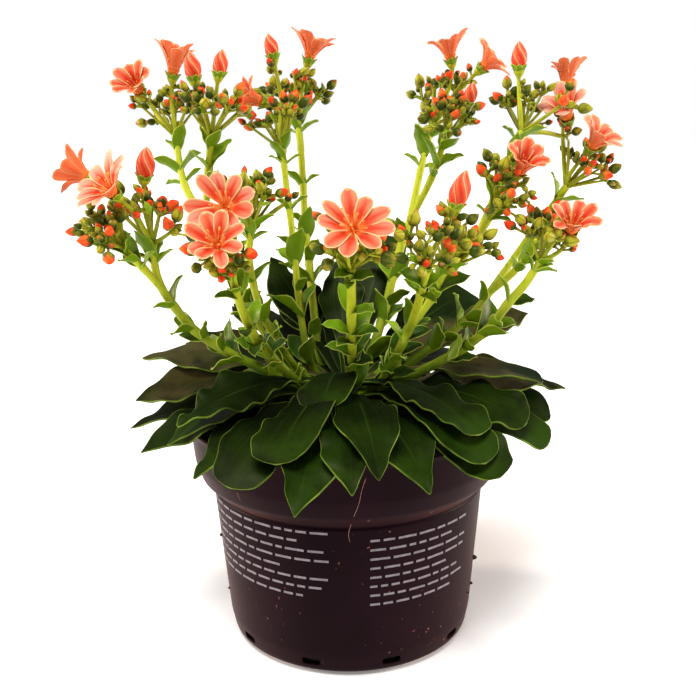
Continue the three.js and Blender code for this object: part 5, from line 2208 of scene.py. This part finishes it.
@dataclass
class Rosette:
    """The crown and its whorls of large leaves.

    A leaf that crosses others is tried again with calmer waves, lifted or rolled.
    """

    finishes: Finishes
    rows: int = 44
    inner: int = 15
    root_thick: float = 2.5
    tip_thick: float = 1.0
    edge_thick: float = 0.62
    cup: float = 0.13
    broad_wave: float = 1.1
    ripple: float = 0.95
    margin_share: float = 0.55
    margin_swing: float = 0.32
    groove: float = 0.4
    free_from: int = 10
    calms: Floats = (1, 0.65, 0.3)
    lifts: Floats = (0, 1.2, -1.2, 2.4, -2.4, 3.6)
    rolls: Floats = (0, 0.12, -0.12, 0.22, -0.22)
    lift_cost: float = 0.3
    roll_cost: float = 3.0
    face_front: float = 0.34
    crown: tuple[Pair, ...] = (
        (0.5, 66), (7, 66), (9.5, 70), (13, 78), (13.4, 86), (10.5, 93), (5, 97), (0.5, 98),
    )
    crown_sides: int = 40
    seed: int = 1207

    def build(self) -> None:
        """Makes the crown and all the leaves as one piece."""
        shell = Shell("leaf_rosette")
        draw = Draw(self.seed)
        placed: list[BVHTree] = []
        for index, leaf in enumerate(LEAVES):
            look = LeafLook.drawn(index, draw)
            blade, tree, crossings = self.settled(leaf, look, placed)
            blade.add_to(shell, look.tone)
            placed.append(tree)
            if crossings:
                LOG.info("leaf %d still crosses others in %d faces", index, crossings)
        turned(shell, rounded(np.array(self.crown, float), 2), self.crown_sides)
        dressed_for(shell.piece(self.finishes.leaf), "leaf", "rosette")

    def settled(self, leaf: LeafRow, look: LeafLook, placed: list[BVHTree]) -> tuple[Blade, BVHTree, int]:
        """Calms, lifts and rolls a leaf until it lies clear of the leaves before it.

        Args:
            leaf: The leaf.
            look: Its look.
            placed: The leaves before it, from where they part.

        Returns:
            The blade, its search tree and the crossings left.
        """
        best = None
        tries = [(calm, lift, roll) for calm in self.calms for lift in self.lifts for roll in self.rolls]
        tries.sort(key=lambda one: 1 - one[0] + self.lift_cost * abs(one[1]) + self.roll_cost * abs(one[2]))
        for calm, lift, roll in tries:
            blade = self.blade(leaf, look, calm, lift, roll)
            trial = Shell("leaf_trial")
            blade.add_to(trial, 0)
            ring = 2 * len(blade.across)
            faces = trial.faces[self.free_from * ring : (self.rows - 1) * ring]
            tree = BVHTree.FromPolygons(trial.points().tolist(), faces)
            crossings = sum(len(tree.overlap(other)) for other in placed)
            if best is None or crossings < best[2]:
                best = (blade, tree, crossings)
            if crossings == 0:
                break
        return best

    def blade(self, leaf: LeafRow, look: LeafLook, calm: float, lift: float, roll: float) -> Blade:
        """Works out one leaf with its waves, cup and midrib.

        Args:
            leaf: The leaf.
            look: Its look.
            calm: Share of its waves that it keeps.
            lift: How far its tip is raised.
            roll: How far it is rolled to one side.

        Returns:
            The blade.
        """
        t = 1 - (1 - np.linspace(0, 1, self.rows)) ** 1.25
        centres, axes, side = leaf_line(leaf, t)
        right, left = (leaf.width / 2 * look.half_share(t, number) for number in (0, 1))
        centres = centres + side * (look.sway * t * t * (1.6 - t))[:, None] + UP * (lift * t * t)[:, None]
        across = spread_across(self.inner)
        t, right, left = t[:, None], right[:, None], left[:, None]
        halves, width = (right + left) / 2, np.abs(across)
        grown_out = eased(t, 0.12, 0.5)
        grown = grown_out * (1 - 0.75 * eased(t, 0.9, 1.0)) * calm
        # The broad wave of the solid's stations, and the finer ripples of the margin
        waves = -look.flip * self.broad_wave * np.cos(np.pi * (t - 0.38) / 0.24) * across * width**0.5
        shift = (right - left) / 2 * width
        for sign, count, phase in look.waves:
            on_side = np.clip(sign * across, 0, 1)
            swing = np.sin(FULL_TURN * count * t + phase)
            waves = waves + self.ripple * look.ripple * self.margin_share * swing * on_side**2.2
            shift = shift + grown * sign * self.margin_swing * swing * on_side**2
        groove = -self.groove * np.exp(-((across / 0.09) ** 2)) * eased(t, 0.0, 0.3)
        roll += self.face_front * math.sin(math.radians(leaf.azimuth))
        twist = (look.twist * t + roll * grown_out) * halves * across
        rise = grown * waves + self.cup * halves * width**1.7 + groove * (1 - 0.8 * t) + twist
        middle_thick = self.root_thick + (self.tip_thick - self.root_thick) * t
        thick = self.edge_thick + (middle_thick - self.edge_thick) * (1 - width**2)
        thick = thick * (1 - 0.55 * eased(t, 0.93, 1.0))
        sides = np.broadcast_to(side, axes.shape)
        return Blade(centres, axes, sides, halves[:, 0], across, rise, thick, shift)


# Flower stems


@dataclass
class FlowerStem:
    """One flower stem with its bracts, branches, bud stalks, calyces and buds."""

    stem: StemRow
    limbs: list[Limb]
    finishes: Finishes
    bud_shape: Object
    sides: int = 10
    rings_a_row: int = 7
    foot_depth: float = 5.0
    ribs: float = 0.04
    node_swell: float = 0.12
    hub_shares: Floats = (0.82, 0.8, 0.6, 0.2)
    hub_rises: Pair = (0.8, 1.4)
    bract_rows: int = 11
    bract_inner: int = 7
    branch_rings: int = 6
    branch_taper: Pair = (1.1, 0.8)
    branch_sag: Pair = (0, 0.7)
    tiny_bract: Pair = (2.6, 4.6)
    tiny_leans: Pair = (40, 58)
    tiny_width: float = 0.42
    pedicel_radii: Floats = (0.506, 0.437, 0.414, 0.46, 0.69)
    stalk_rings: int = 14
    stalk_radii: Pair = (0.95, 0.72)
    cup_radii: Floats = (0.5, 0.8, 0.96, 1.0)
    sepals: int = 6
    sepal_length: Pair = (3.6, 4.6)
    sepal_leans: Pair = (26, 34)
    sepal_width: float = 0.62
    bract_stations: Floats = (0, 0.15, 0.38, 0.6, 0.82, 0.95, 1.0)
    bract_shares: Floats = (0.4, 0.72, 1.0, 0.9, 0.5, 0.17, 0.02)
    seed_factor: int = 31337

    def __post_init__(self) -> None:
        """Starts the stem's shell and its draw."""
        self.shell = Shell(f"{self.stem.name}_grown")
        self.draw = Draw(self.stem.seed * self.seed_factor)

    def build(self) -> None:
        """Makes the stem's two pieces: its skin and its buds."""
        for limb in self.limbs:
            self.add_limb(limb)
            grown = (
                (self.add_branch, limb.branches), (self.add_pedicel, limb.buds),
                (self.add_stalk, limb.stalks), (self.add_bract, limb.bracts),
            )
            for add, things in grown:
                for thing in things:
                    add(thing)
        dressed_for(self.shell.piece(self.finishes.stem, self.finishes.bract), "stem", self.stem.name)
        stood = StoodPieces(f"{self.stem.name}_buds", self.bud_shape, self.finishes.bud)
        dressed_for(stood.stand(self.bud_stands()), "stem")

    def add_limb(self, limb: Limb) -> None:
        """Adds the stem up to a head's joint.

        Args:
            limb: The limb.
        """
        points = np.array([row.point for row in limb.rows])
        radii = [*(row.radius for row in limb.rows[:-1]), FORK_RADIUS]
        shares = np.linspace(0, 1, self.rings_a_row * len(points))
        line = smooth_line(points, shares)
        thick = np.interp(shares * (len(points) - 1), np.arange(len(points)), radii)
        if limb.first:
            foot = limb.rows[0]
            line = np.vstack([foot.point - foot.axis * self.foot_depth, line])
            thick = np.concatenate([[radii[0]], thick])
        for row in limb.rows:
            if row.leafy:
                near = np.linalg.norm(line - row.point, axis=1)
                thick = thick * (1 + self.node_swell * np.exp(-((near / 1.6) ** 2)))
        line = np.vstack([line, limb.hub.point + limb.hub.axis * np.array(self.hub_rises)[:, None]])
        thick = np.concatenate([thick[:-2], HUB_RADIUS * np.array(self.hub_shares)])
        tube(self.shell, line, thick, self.sides, ribs=self.ribs)

    def add_branch(self, branch: Branch) -> None:
        """Adds a thin branch that bends a little, and often a tiny bract where bud stalks part.

        Args:
            branch: The branch.
        """
        sag = tilted(branch.direction, RIGHT_ANGLE, self.draw.between(0, FULL_TURN))
        sag *= self.draw.between(*self.branch_sag)
        t = np.linspace(0, 1, self.branch_rings)
        points = bent_line(branch.root, (branch.root + branch.end) / 2 + sag, branch.end, t)
        radii = np.linspace(*(branch.radius * share for share in self.branch_taper), self.branch_rings)
        # The branch's tone mark browns it: partly its own colour, partly painted shade inside the head.
        tube(self.shell, points, radii, 6, self.draw.between(0.25, 0.7))
        if self.draw.next() < 0.8:
            axis = branch.direction
            outward = tilted(axis, RIGHT_ANGLE, self.draw.between(0, FULL_TURN))
            length = self.draw.between(*self.tiny_bract)
            self.add_bract(Bract.leaving(branch.end, axis, outward, length, self.tiny_leans, self.tiny_width))

    def add_pedicel(self, bud: Bud) -> None:
        """Adds the stalk of a small bud.

        Args:
            bud: The bud.
        """
        control = bud.foot - bud.direction * float(np.linalg.norm(bud.foot - bud.start)) * 0.45
        t = np.linspace(0, 1, len(self.pedicel_radii))
        points = bent_line(bud.start, control, bud.foot + bud.direction * 0.3, t)
        # The stalk's tone mark browns it: partly its own colour, partly painted shade inside the head.
        tube(self.shell, points, self.pedicel_radii, 5, self.draw.between(0.2, 0.75))

    def add_stalk(self, stalk: Stalk) -> None:
        """Adds a bloom's stalk, its calyx cup and its sepals.

        Args:
            stalk: The stalk.
        """
        points = smooth_line(stalk.points, np.linspace(0, 1, self.stalk_rings))
        foot, facing = stalk.points[-1], stalk.facing
        cup = [foot + facing * CALYX_LENGTH * share for share in (0.25, 0.5, 0.75, 1.0)]
        radii = [*np.linspace(*self.stalk_radii, self.stalk_rings)]
        radii += [stalk.radius * share for share in self.cup_radii]
        tube(self.shell, np.vstack([points, cup]), radii, 9, self.draw.between(0.0, 0.3))
        turn = self.draw.next()
        for index in range(self.sepals):
            outward = tilted(facing, RIGHT_ANGLE, FULL_TURN * (index + turn) / self.sepals)
            length = self.draw.between(*self.sepal_length)
            root = foot + facing * CALYX_LENGTH * 0.45 + outward * stalk.radius * 0.55
            self.add_bract(Bract.leaving(root, facing, outward, length, self.sepal_leans, self.sepal_width))

    def add_bract(self, bract: Bract) -> None:
        """Adds a folded pointed bract.

        Args:
            bract: The bract.
        """
        t = np.linspace(0, 1, self.bract_rows)
        control = 2 * bract.middle - (bract.root + bract.end) / 2
        centres = bent_line(bract.root, control, bract.end, t)
        axes = unit(np.gradient(centres, axis=0))
        side = unit(np.cross(bract.axis, bract.outward))
        side = unit(side - axes * (axes @ side)[:, None])
        shares = smooth_between(t, self.bract_stations, self.bract_shares)
        halves = bract.width / 2 * 1.12 * shares
        across = spread_across(self.bract_inner)
        width, t = np.abs(across), t[:, None]
        # The normal of a blade that grows away from its stem looks at the stem's tip
        rise = self.draw.between(0.2, 0.5) * halves[:, None] * width**1.3
        swing = np.sin(FULL_TURN * self.draw.between(1.2, 2.6) * t + self.draw.between(0, 6))
        rise = rise + swing * 0.07 * bract.width * across * width
        thick = (0.34 + 0.3 * (1 - across**2)) * (1 - 0.5 * t**3)
        Blade(centres, axes, side, halves, across, rise, thick).add_to(self.shell, self.draw.next(), 1)

    def bud_stands(self) -> list[Stand]:
        """Places of all the stem's buds.

        Returns:
            One place for each bud.
        """
        buds = [bud for limb in self.limbs for bud in limb.buds]
        lies = [tilted(bud.direction, RIGHT_ANGLE, self.draw.between(0, 6.28)) for bud in buds]
        spans = [(bud.size, bud.size, bud.size * self.draw.between(0.92, 1.12)) for bud in buds]
        return [
            Stand(bud.foot, bud.direction, lie, span, bud.ripe) for bud, lie, span in zip(buds, lies, spans)
        ]


def bud_shape(finishes: Finishes) -> Object:
    """Makes the shape of one small bud, standing on the origin: an egg with two low keels.

    Args:
        finishes: The plant's finishes.

    Returns:
        The shape.
    """
    shell = Shell("bud_shape", marks=("rim",))
    heights = np.array([0, 0.08, 0.24, 0.42, 0.62, 0.8, 0.93, 1.0])
    radii = np.array([0.3, 0.68, 0.95, 1.0, 0.86, 0.56, 0.26, 0.06]) * BUD_RADIUS * 0.88
    angle = even_angles(8)
    keel = (1 + 0.07 * np.cos(2 * angle))[:, None]
    ring = round_ways(RIGHT, AWAY, angle) * keel
    rings = ring[None] * radii[:, None, None] + UP * (heights * BUD_LENGTH)[:, None, None]
    shape = rings.shape[:2]
    places = marked(shape, 0.5 - 0.5 * np.cos(2 * angle), heights[:, None])
    shell.skin(rings, places, marked(shape, FAR_FROM_RIM))
    return shell.piece(finishes.bud)


# Blooms and opening buds


@dataclass
class Bloom:
    """One open bloom: a short funnel and a whorl of long petals."""

    bloom: BloomRow
    finishes: Finishes
    rows: int = 16
    inner: int = 9
    funnel: tuple[Pair, ...] = (
        (1.1, 0), (1.5, 0.8), (2.0, 1.6), (2.4, 2.3), (2.3, 2.75), (1.6, 2.3), (0.4, 1.7),
    )
    funnel_sides: int = 20
    petal_width: float = 0.194
    stations: Floats = (0, 0.2, 0.45, 0.7, 0.84, 0.93, 0.98, 1.0)
    shares: Floats = (0.34, 0.54, 0.84, 1.0, 0.9, 0.62, 0.34, 0.1)
    teeth: float = 0.42
    layer: float = 0.6
    stretch: Pair = (0.8, 0.98)
    thick: float = 0.36
    deeper: float = 1.2
    cup: float = 0.14
    groove: float = 0.18
    notch: float = 0.25
    ripple: float = 0.26
    swings: Pair = (-0.13, 0.13)
    curls: Pair = (-0.26, 0.14)
    rolls: Pair = (-0.2, 0.2)
    widths: Pair = (0.88, 1.1)
    blushes: Pair = (-0.15, 0.2)
    seed_factor: int = 811

    def build(self) -> None:
        """Makes the funnel and the petals as one piece."""
        seat = Seat.of(self.bloom)
        shell = Shell(f"{self.bloom.name}_petals")
        draw = Draw(sum(ord(letter) for letter in self.bloom.name) * self.seed_factor)
        radii, heights = np.array(self.funnel).T
        line = seat.foot + seat.facing * heights[:, None]
        ring = round_ways(*square_to(seat.facing), even_angles(self.funnel_sides))
        shell.plain_skin(line[:, None] + ring[None] * radii[:, None, None], FAR_FROM_RIM)
        for index in range(self.bloom.petals):
            self.add_petal(shell, seat, index, draw)
        dressed_for(shell.piece(self.finishes.petal), "petal", self.bloom.name)

    def add_petal(self, shell: Shell, seat: Seat, index: int, draw: Draw) -> None:
        """Adds one petal.

        Args:
            shell: The bloom's shell.
            seat: Where the bloom stands.
            index: The petal's number.
            draw: The bloom's draw.
        """
        bloom = self.bloom
        t = 1 - (1 - np.linspace(0, 1, self.rows)) ** 1.3
        turn = FULL_TURN * (index + 0.5) / bloom.petals + draw.between(*self.swings)
        outward = tilted(seat.facing, RIGHT_ANGLE, turn)
        # The line bows out a little more than the solid's, like a cup
        start = np.array([FUNNEL_RIM[0] * 0.8, FUNNEL_RIM[1] + 0.4])
        control = np.array([bloom.reach * 0.44, bloom.rise * 0.88 + 0.6])
        tip = np.array([bloom.reach * draw.between(*self.stretch), bloom.rise + self.deeper])
        line = bent_line(start, control, tip, t)
        curl = draw.between(*self.curls) * bloom.rise * eased(t, 0.4, 1.0)
        lift = line[:, 1] - 0.5 * (1 - t) ** 2 + curl
        reach, lift = line[:, :1], lift[:, None]
        centres = seat.foot + outward * reach + seat.facing * lift
        axes = unit(np.gradient(centres, axis=0))
        side = np.cross(seat.facing, outward)
        inside = np.cross(axes, side)
        if index % 2:
            centres = centres + inside * (self.layer * (0.25 + 0.75 * t**0.6))[:, None]
        widest = math.hypot(bloom.reach, bloom.rise) * self.petal_width * draw.between(*self.widths)
        halves = (widest * smooth_between(t, self.stations, self.shares))[:, None]
        across = spread_across(self.inner)
        t, width, place = t[:, None], np.abs(across), across * halves
        # Near the throat a petal is a part of one cone with the others, so that none cuts its neighbours
        wrapped = 1 - bloom.reach / (bloom.reach + bloom.rise) * eased(t, 0.3, 1.0)
        swept = place / reach
        sideways = wrapped * (np.sin(swept) * reach - place)
        inwards = wrapped * (1 - np.cos(swept)) * reach
        cup = self.cup * halves * width**1.6 * (1 - wrapped)
        groove = -self.groove * np.exp(-((across / 0.2) ** 2)) * np.sin(np.pi * t)
        swing = np.sin(FULL_TURN * draw.between(1.0, 2.2) * t + draw.between(0, 6))
        ripple = self.ripple * swing * across * width * eased(t, 0.5, 0.9)
        notch = -self.notch * np.exp(-((across / 0.3) ** 2)) * eased(t, 0.9, 1.0)
        roll = draw.between(*self.rolls) * eased(t, 0.35, 0.9) * place
        teeth = np.exp(-((across / 0.24) ** 2)) + 0.5 * np.sin(9 * across + draw.between(0, 6)) ** 2
        slide = -(axes @ outward)[:, None] * inwards - self.teeth * teeth * eased(t, 0.8, 1.0)
        rise = cup + groove + ripple + notch + roll - (inside @ outward)[:, None] * inwards
        thick = self.thick * (1 - 0.45 * width) * (1 - 0.35 * t)
        sides = np.broadcast_to(side, axes.shape)
        blush = float(np.clip(bloom.blush + draw.between(*self.blushes), 0, 1))
        Blade(centres, axes, sides, halves[:, 0], across, rise, thick, sideways, slide).add_to(shell, blush)


@dataclass
class Stamens:
    """The stamens of all the blooms."""

    finishes: Finishes
    in_a_bloom: int = 11
    size: Pair = (0.85, 1.2)
    line: tuple[Triple, ...] = (
        (0, 0, 0), (0.1, 0, 2.0), (0.35, 0, 4.0), (0.5, 0, 4.4), (0.6, 0, 4.9), (0.62, 0, 5.3),
    )
    radii: Floats = (0.2, 0.16, 0.13, 0.34, 0.32, 0.1)
    seed: int = 77

    def build(self) -> None:
        """Stands a stamen in every place."""
        draw = Draw(self.seed)
        stands = []
        for bloom in BLOOMS:
            seat = Seat.of(bloom)
            for index in range(self.in_a_bloom):
                turn = FULL_TURN * (index + draw.between(-0.3, 0.3)) / self.in_a_bloom
                lean = draw.between(8, 20 + 20 * bloom.reach / (bloom.reach + bloom.rise))
                aim = tilted(seat.facing, math.radians(lean), turn)
                outward = tilted(seat.facing, RIGHT_ANGLE, turn)
                size = draw.between(*self.size) * (0.7 + bloom.reach / 40)
                place = seat.foot + seat.facing * 2.2 + outward * 0.7
                stands.append(Stand(place, aim, outward, (size, size, size)))
        shell = Shell("stamen_shape")
        tube(shell, np.array(self.line), self.radii, 5)
        shape = shell.piece(self.finishes.stamen)
        made = StoodPieces("stamens", shape, self.finishes.stamen).stand(stands)
        drop(shape)
        dressed_for(made, "petal")


@dataclass
class OpeningBud:
    """A large bud whose folded petals lie over each other in a low spiral."""

    bud: OpeningRow
    finishes: Finishes
    rows: int = 20
    petals: int = 5
    fold: float = 0.13
    twist: float = 1.5
    stations: Floats = (0, 0.12, 0.3, 0.5, 0.78, 0.93, 1.0)
    shares: Floats = (0.66, 0.86, 1.0, 0.98, 0.6, 0.24, 0.04)
    columns: Floats = (0, 0.12, 0.3, 0.5, 0.7, 0.86, 0.97)
    tone: float = 0.25

    def build(self) -> None:
        """Makes the folded petals as one closed piece."""
        facing, foot = unit(triple(self.bud.facing)), triple(self.bud.foot)
        t = np.linspace(0, 1, self.rows)[:, None]
        shares = smooth_between(t, self.stations, self.shares)
        radius = self.bud.radius * shares
        # Each petal rises over the next one, with a sharp step between them that winds up the bud
        wind = np.tile(self.columns, self.petals)
        turn = np.repeat(np.arange(self.petals), len(self.columns)) + wind
        ring = round_ways(*square_to(facing), FULL_TURN * (turn - self.twist * t**1.2) / self.petals)
        step = 1 + self.fold * (wind - 0.5) * eased(t, 0.0, 0.4)
        rings = (foot + facing * t * self.bud.length)[:, None] + ring * (radius * step)[..., None]
        shape = rings.shape[:2]
        rim = (1 - wind) * FULL_TURN * radius / self.petals + 0.12
        shell = Shell(f"{self.bud.name}_petals")
        shell.skin(rings, marked(shape, wind * 0.8 + 0.1, 0.25 + 0.4 * t), marked(shape, rim, self.tone, 0))
        dressed_for(shell.piece(self.finishes.petal), "petal", self.bud.name)


# Studio


@dataclass
class Studio:
    """A pale floor, soft lights and the camera at the photograph's angle.

    Each sun has its name, where it comes from, its power, the angle that it fills and its colour.
    """

    camera_place: Triple = (0.0, -0.33404, 0.18645)
    lens: float = 46.552
    sensor: float = 36.0
    pitch: float = 12.865
    yaw: float = 0.142
    roll: float = -0.974
    floor_size: float = 40.0
    floor_glow: float = 0.2
    ambient: float = 0.3
    suns: tuple[tuple[str, Triple, float, float, Triple], ...] = (
        ("key", (-0.12, -0.38, 1.0), 3.3, 26.0, (1.0, 1.0, 1.0)),
        ("left", (-1.0, 0.19, 0.22), 3.0, 14.0, (1.0, 0.78, 0.66)),
        ("right", (1.0, 0.19, 0.22), 3.0, 14.0, (1.0, 0.78, 0.66)),
    )

    def build(self) -> None:
        """Makes the floor, the world, the lights and the camera."""
        self.floor()
        self.world()
        for name, place, power, spread, tint in self.suns:
            data = bpy.data.lights.new(name, "SUN")
            data.energy, data.angle, data.color = power, math.radians(spread), tint
            self.face(in_scene(name, data), unit(triple(place)), -unit(triple(place)), 0)
        self.camera()
        settings = bpy.context.scene.view_settings
        settings.view_transform, settings.look = "Standard", "None"

    def floor(self) -> None:
        """Makes the plain floor."""
        half = self.floor_size / 2
        mesh = bpy.data.meshes.new("floor")
        corners = [(-half, -half, 0), (half, -half, 0), (half, half, 0), (-half, half, 0)]
        mesh.from_pydata(corners, [], [(0, 1, 2, 3)])
        bench = Bench("pale_floor")
        bench.colour = shade("fafafa")
        glow = {"Emission_Color": shade("fffaf4"), "Emission_Strength": self.floor_glow}
        mesh.materials.append(bench.finish(0.9, **glow))
        in_scene("floor", mesh)

    def world(self) -> None:
        """Makes the even light from all round, which the camera sees as plain white."""
        world = bpy.data.worlds.new("studio")
        bpy.context.scene.world = world
        world.use_nodes = True
        bench = NodeBench(world.node_tree)
        seen = bench.node("ShaderNodeLightPath").outputs["Is Camera Ray"]
        inputs = {"Value": seen, "To Min": self.ambient, "To Max": 1.0}
        strength = bench.node("ShaderNodeMapRange", inputs).outputs["Result"]
        sky = world.node_tree.nodes["Background"]
        bench.put(sky.inputs["Color"], (1, 1, 1, 1))
        bench.put(sky.inputs["Strength"], strength)

    def camera(self) -> None:
        """Adds the camera."""
        data = bpy.data.cameras.new("camera")
        data.lens, data.sensor_width, data.clip_start = self.lens, self.sensor, 0.01
        camera = in_scene("camera", data)
        pitch, yaw = math.radians(self.pitch), math.radians(self.yaw)
        level = RIGHT * math.sin(yaw) + AWAY * math.cos(yaw)
        forward = level * math.cos(pitch) - UP * math.sin(pitch)
        self.face(camera, triple(self.camera_place), forward, math.radians(self.roll))
        bpy.context.scene.camera = camera

    @staticmethod
    def face(thing: Object, place: Array, forward: Array, roll: float) -> None:
        """Puts an object in place, looking one way.

        Args:
            thing: The object.
            place: Its place in metres.
            forward: The way it looks.
            roll: How far it is turned round that way.
        """
        right = unit(np.cross(forward, UP))
        up = np.cross(right, forward)
        rolled_right = math.cos(roll) * right + math.sin(roll) * up
        rolled_up = -math.sin(roll) * right + math.cos(roll) * up
        matrix = np.eye(4)
        matrix[:3] = np.stack([rolled_right, rolled_up, -forward, place], 1)
        thing.matrix_world = Matrix(matrix.tolist())


def main() -> None:
    """Builds the plant round its solids, then the studio."""
    logging.basicConfig(level=logging.INFO, format="%(message)s")
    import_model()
    finishes = Finishes()
    for sub_assembly in (NurseryPot, WallDirt, PottedSoil, Rosette):
        sub_assembly(finishes).build()
    plan = PlantPlan()
    plan.grow()
    FineGrowth(plan).grow()
    bud = bud_shape(finishes)
    for stem, limbs in zip(STEMS, plan.stems):
        FlowerStem(stem, limbs, finishes, bud).build()
    drop(bud)
    for bloom in BLOOMS:
        Bloom(bloom, finishes).build()
    Stamens(finishes).build()
    for opening in OPENING_BUDS:
        OpeningBud(opening, finishes).build()
    Studio().build()
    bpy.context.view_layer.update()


if __name__ == "__main__":
    main()
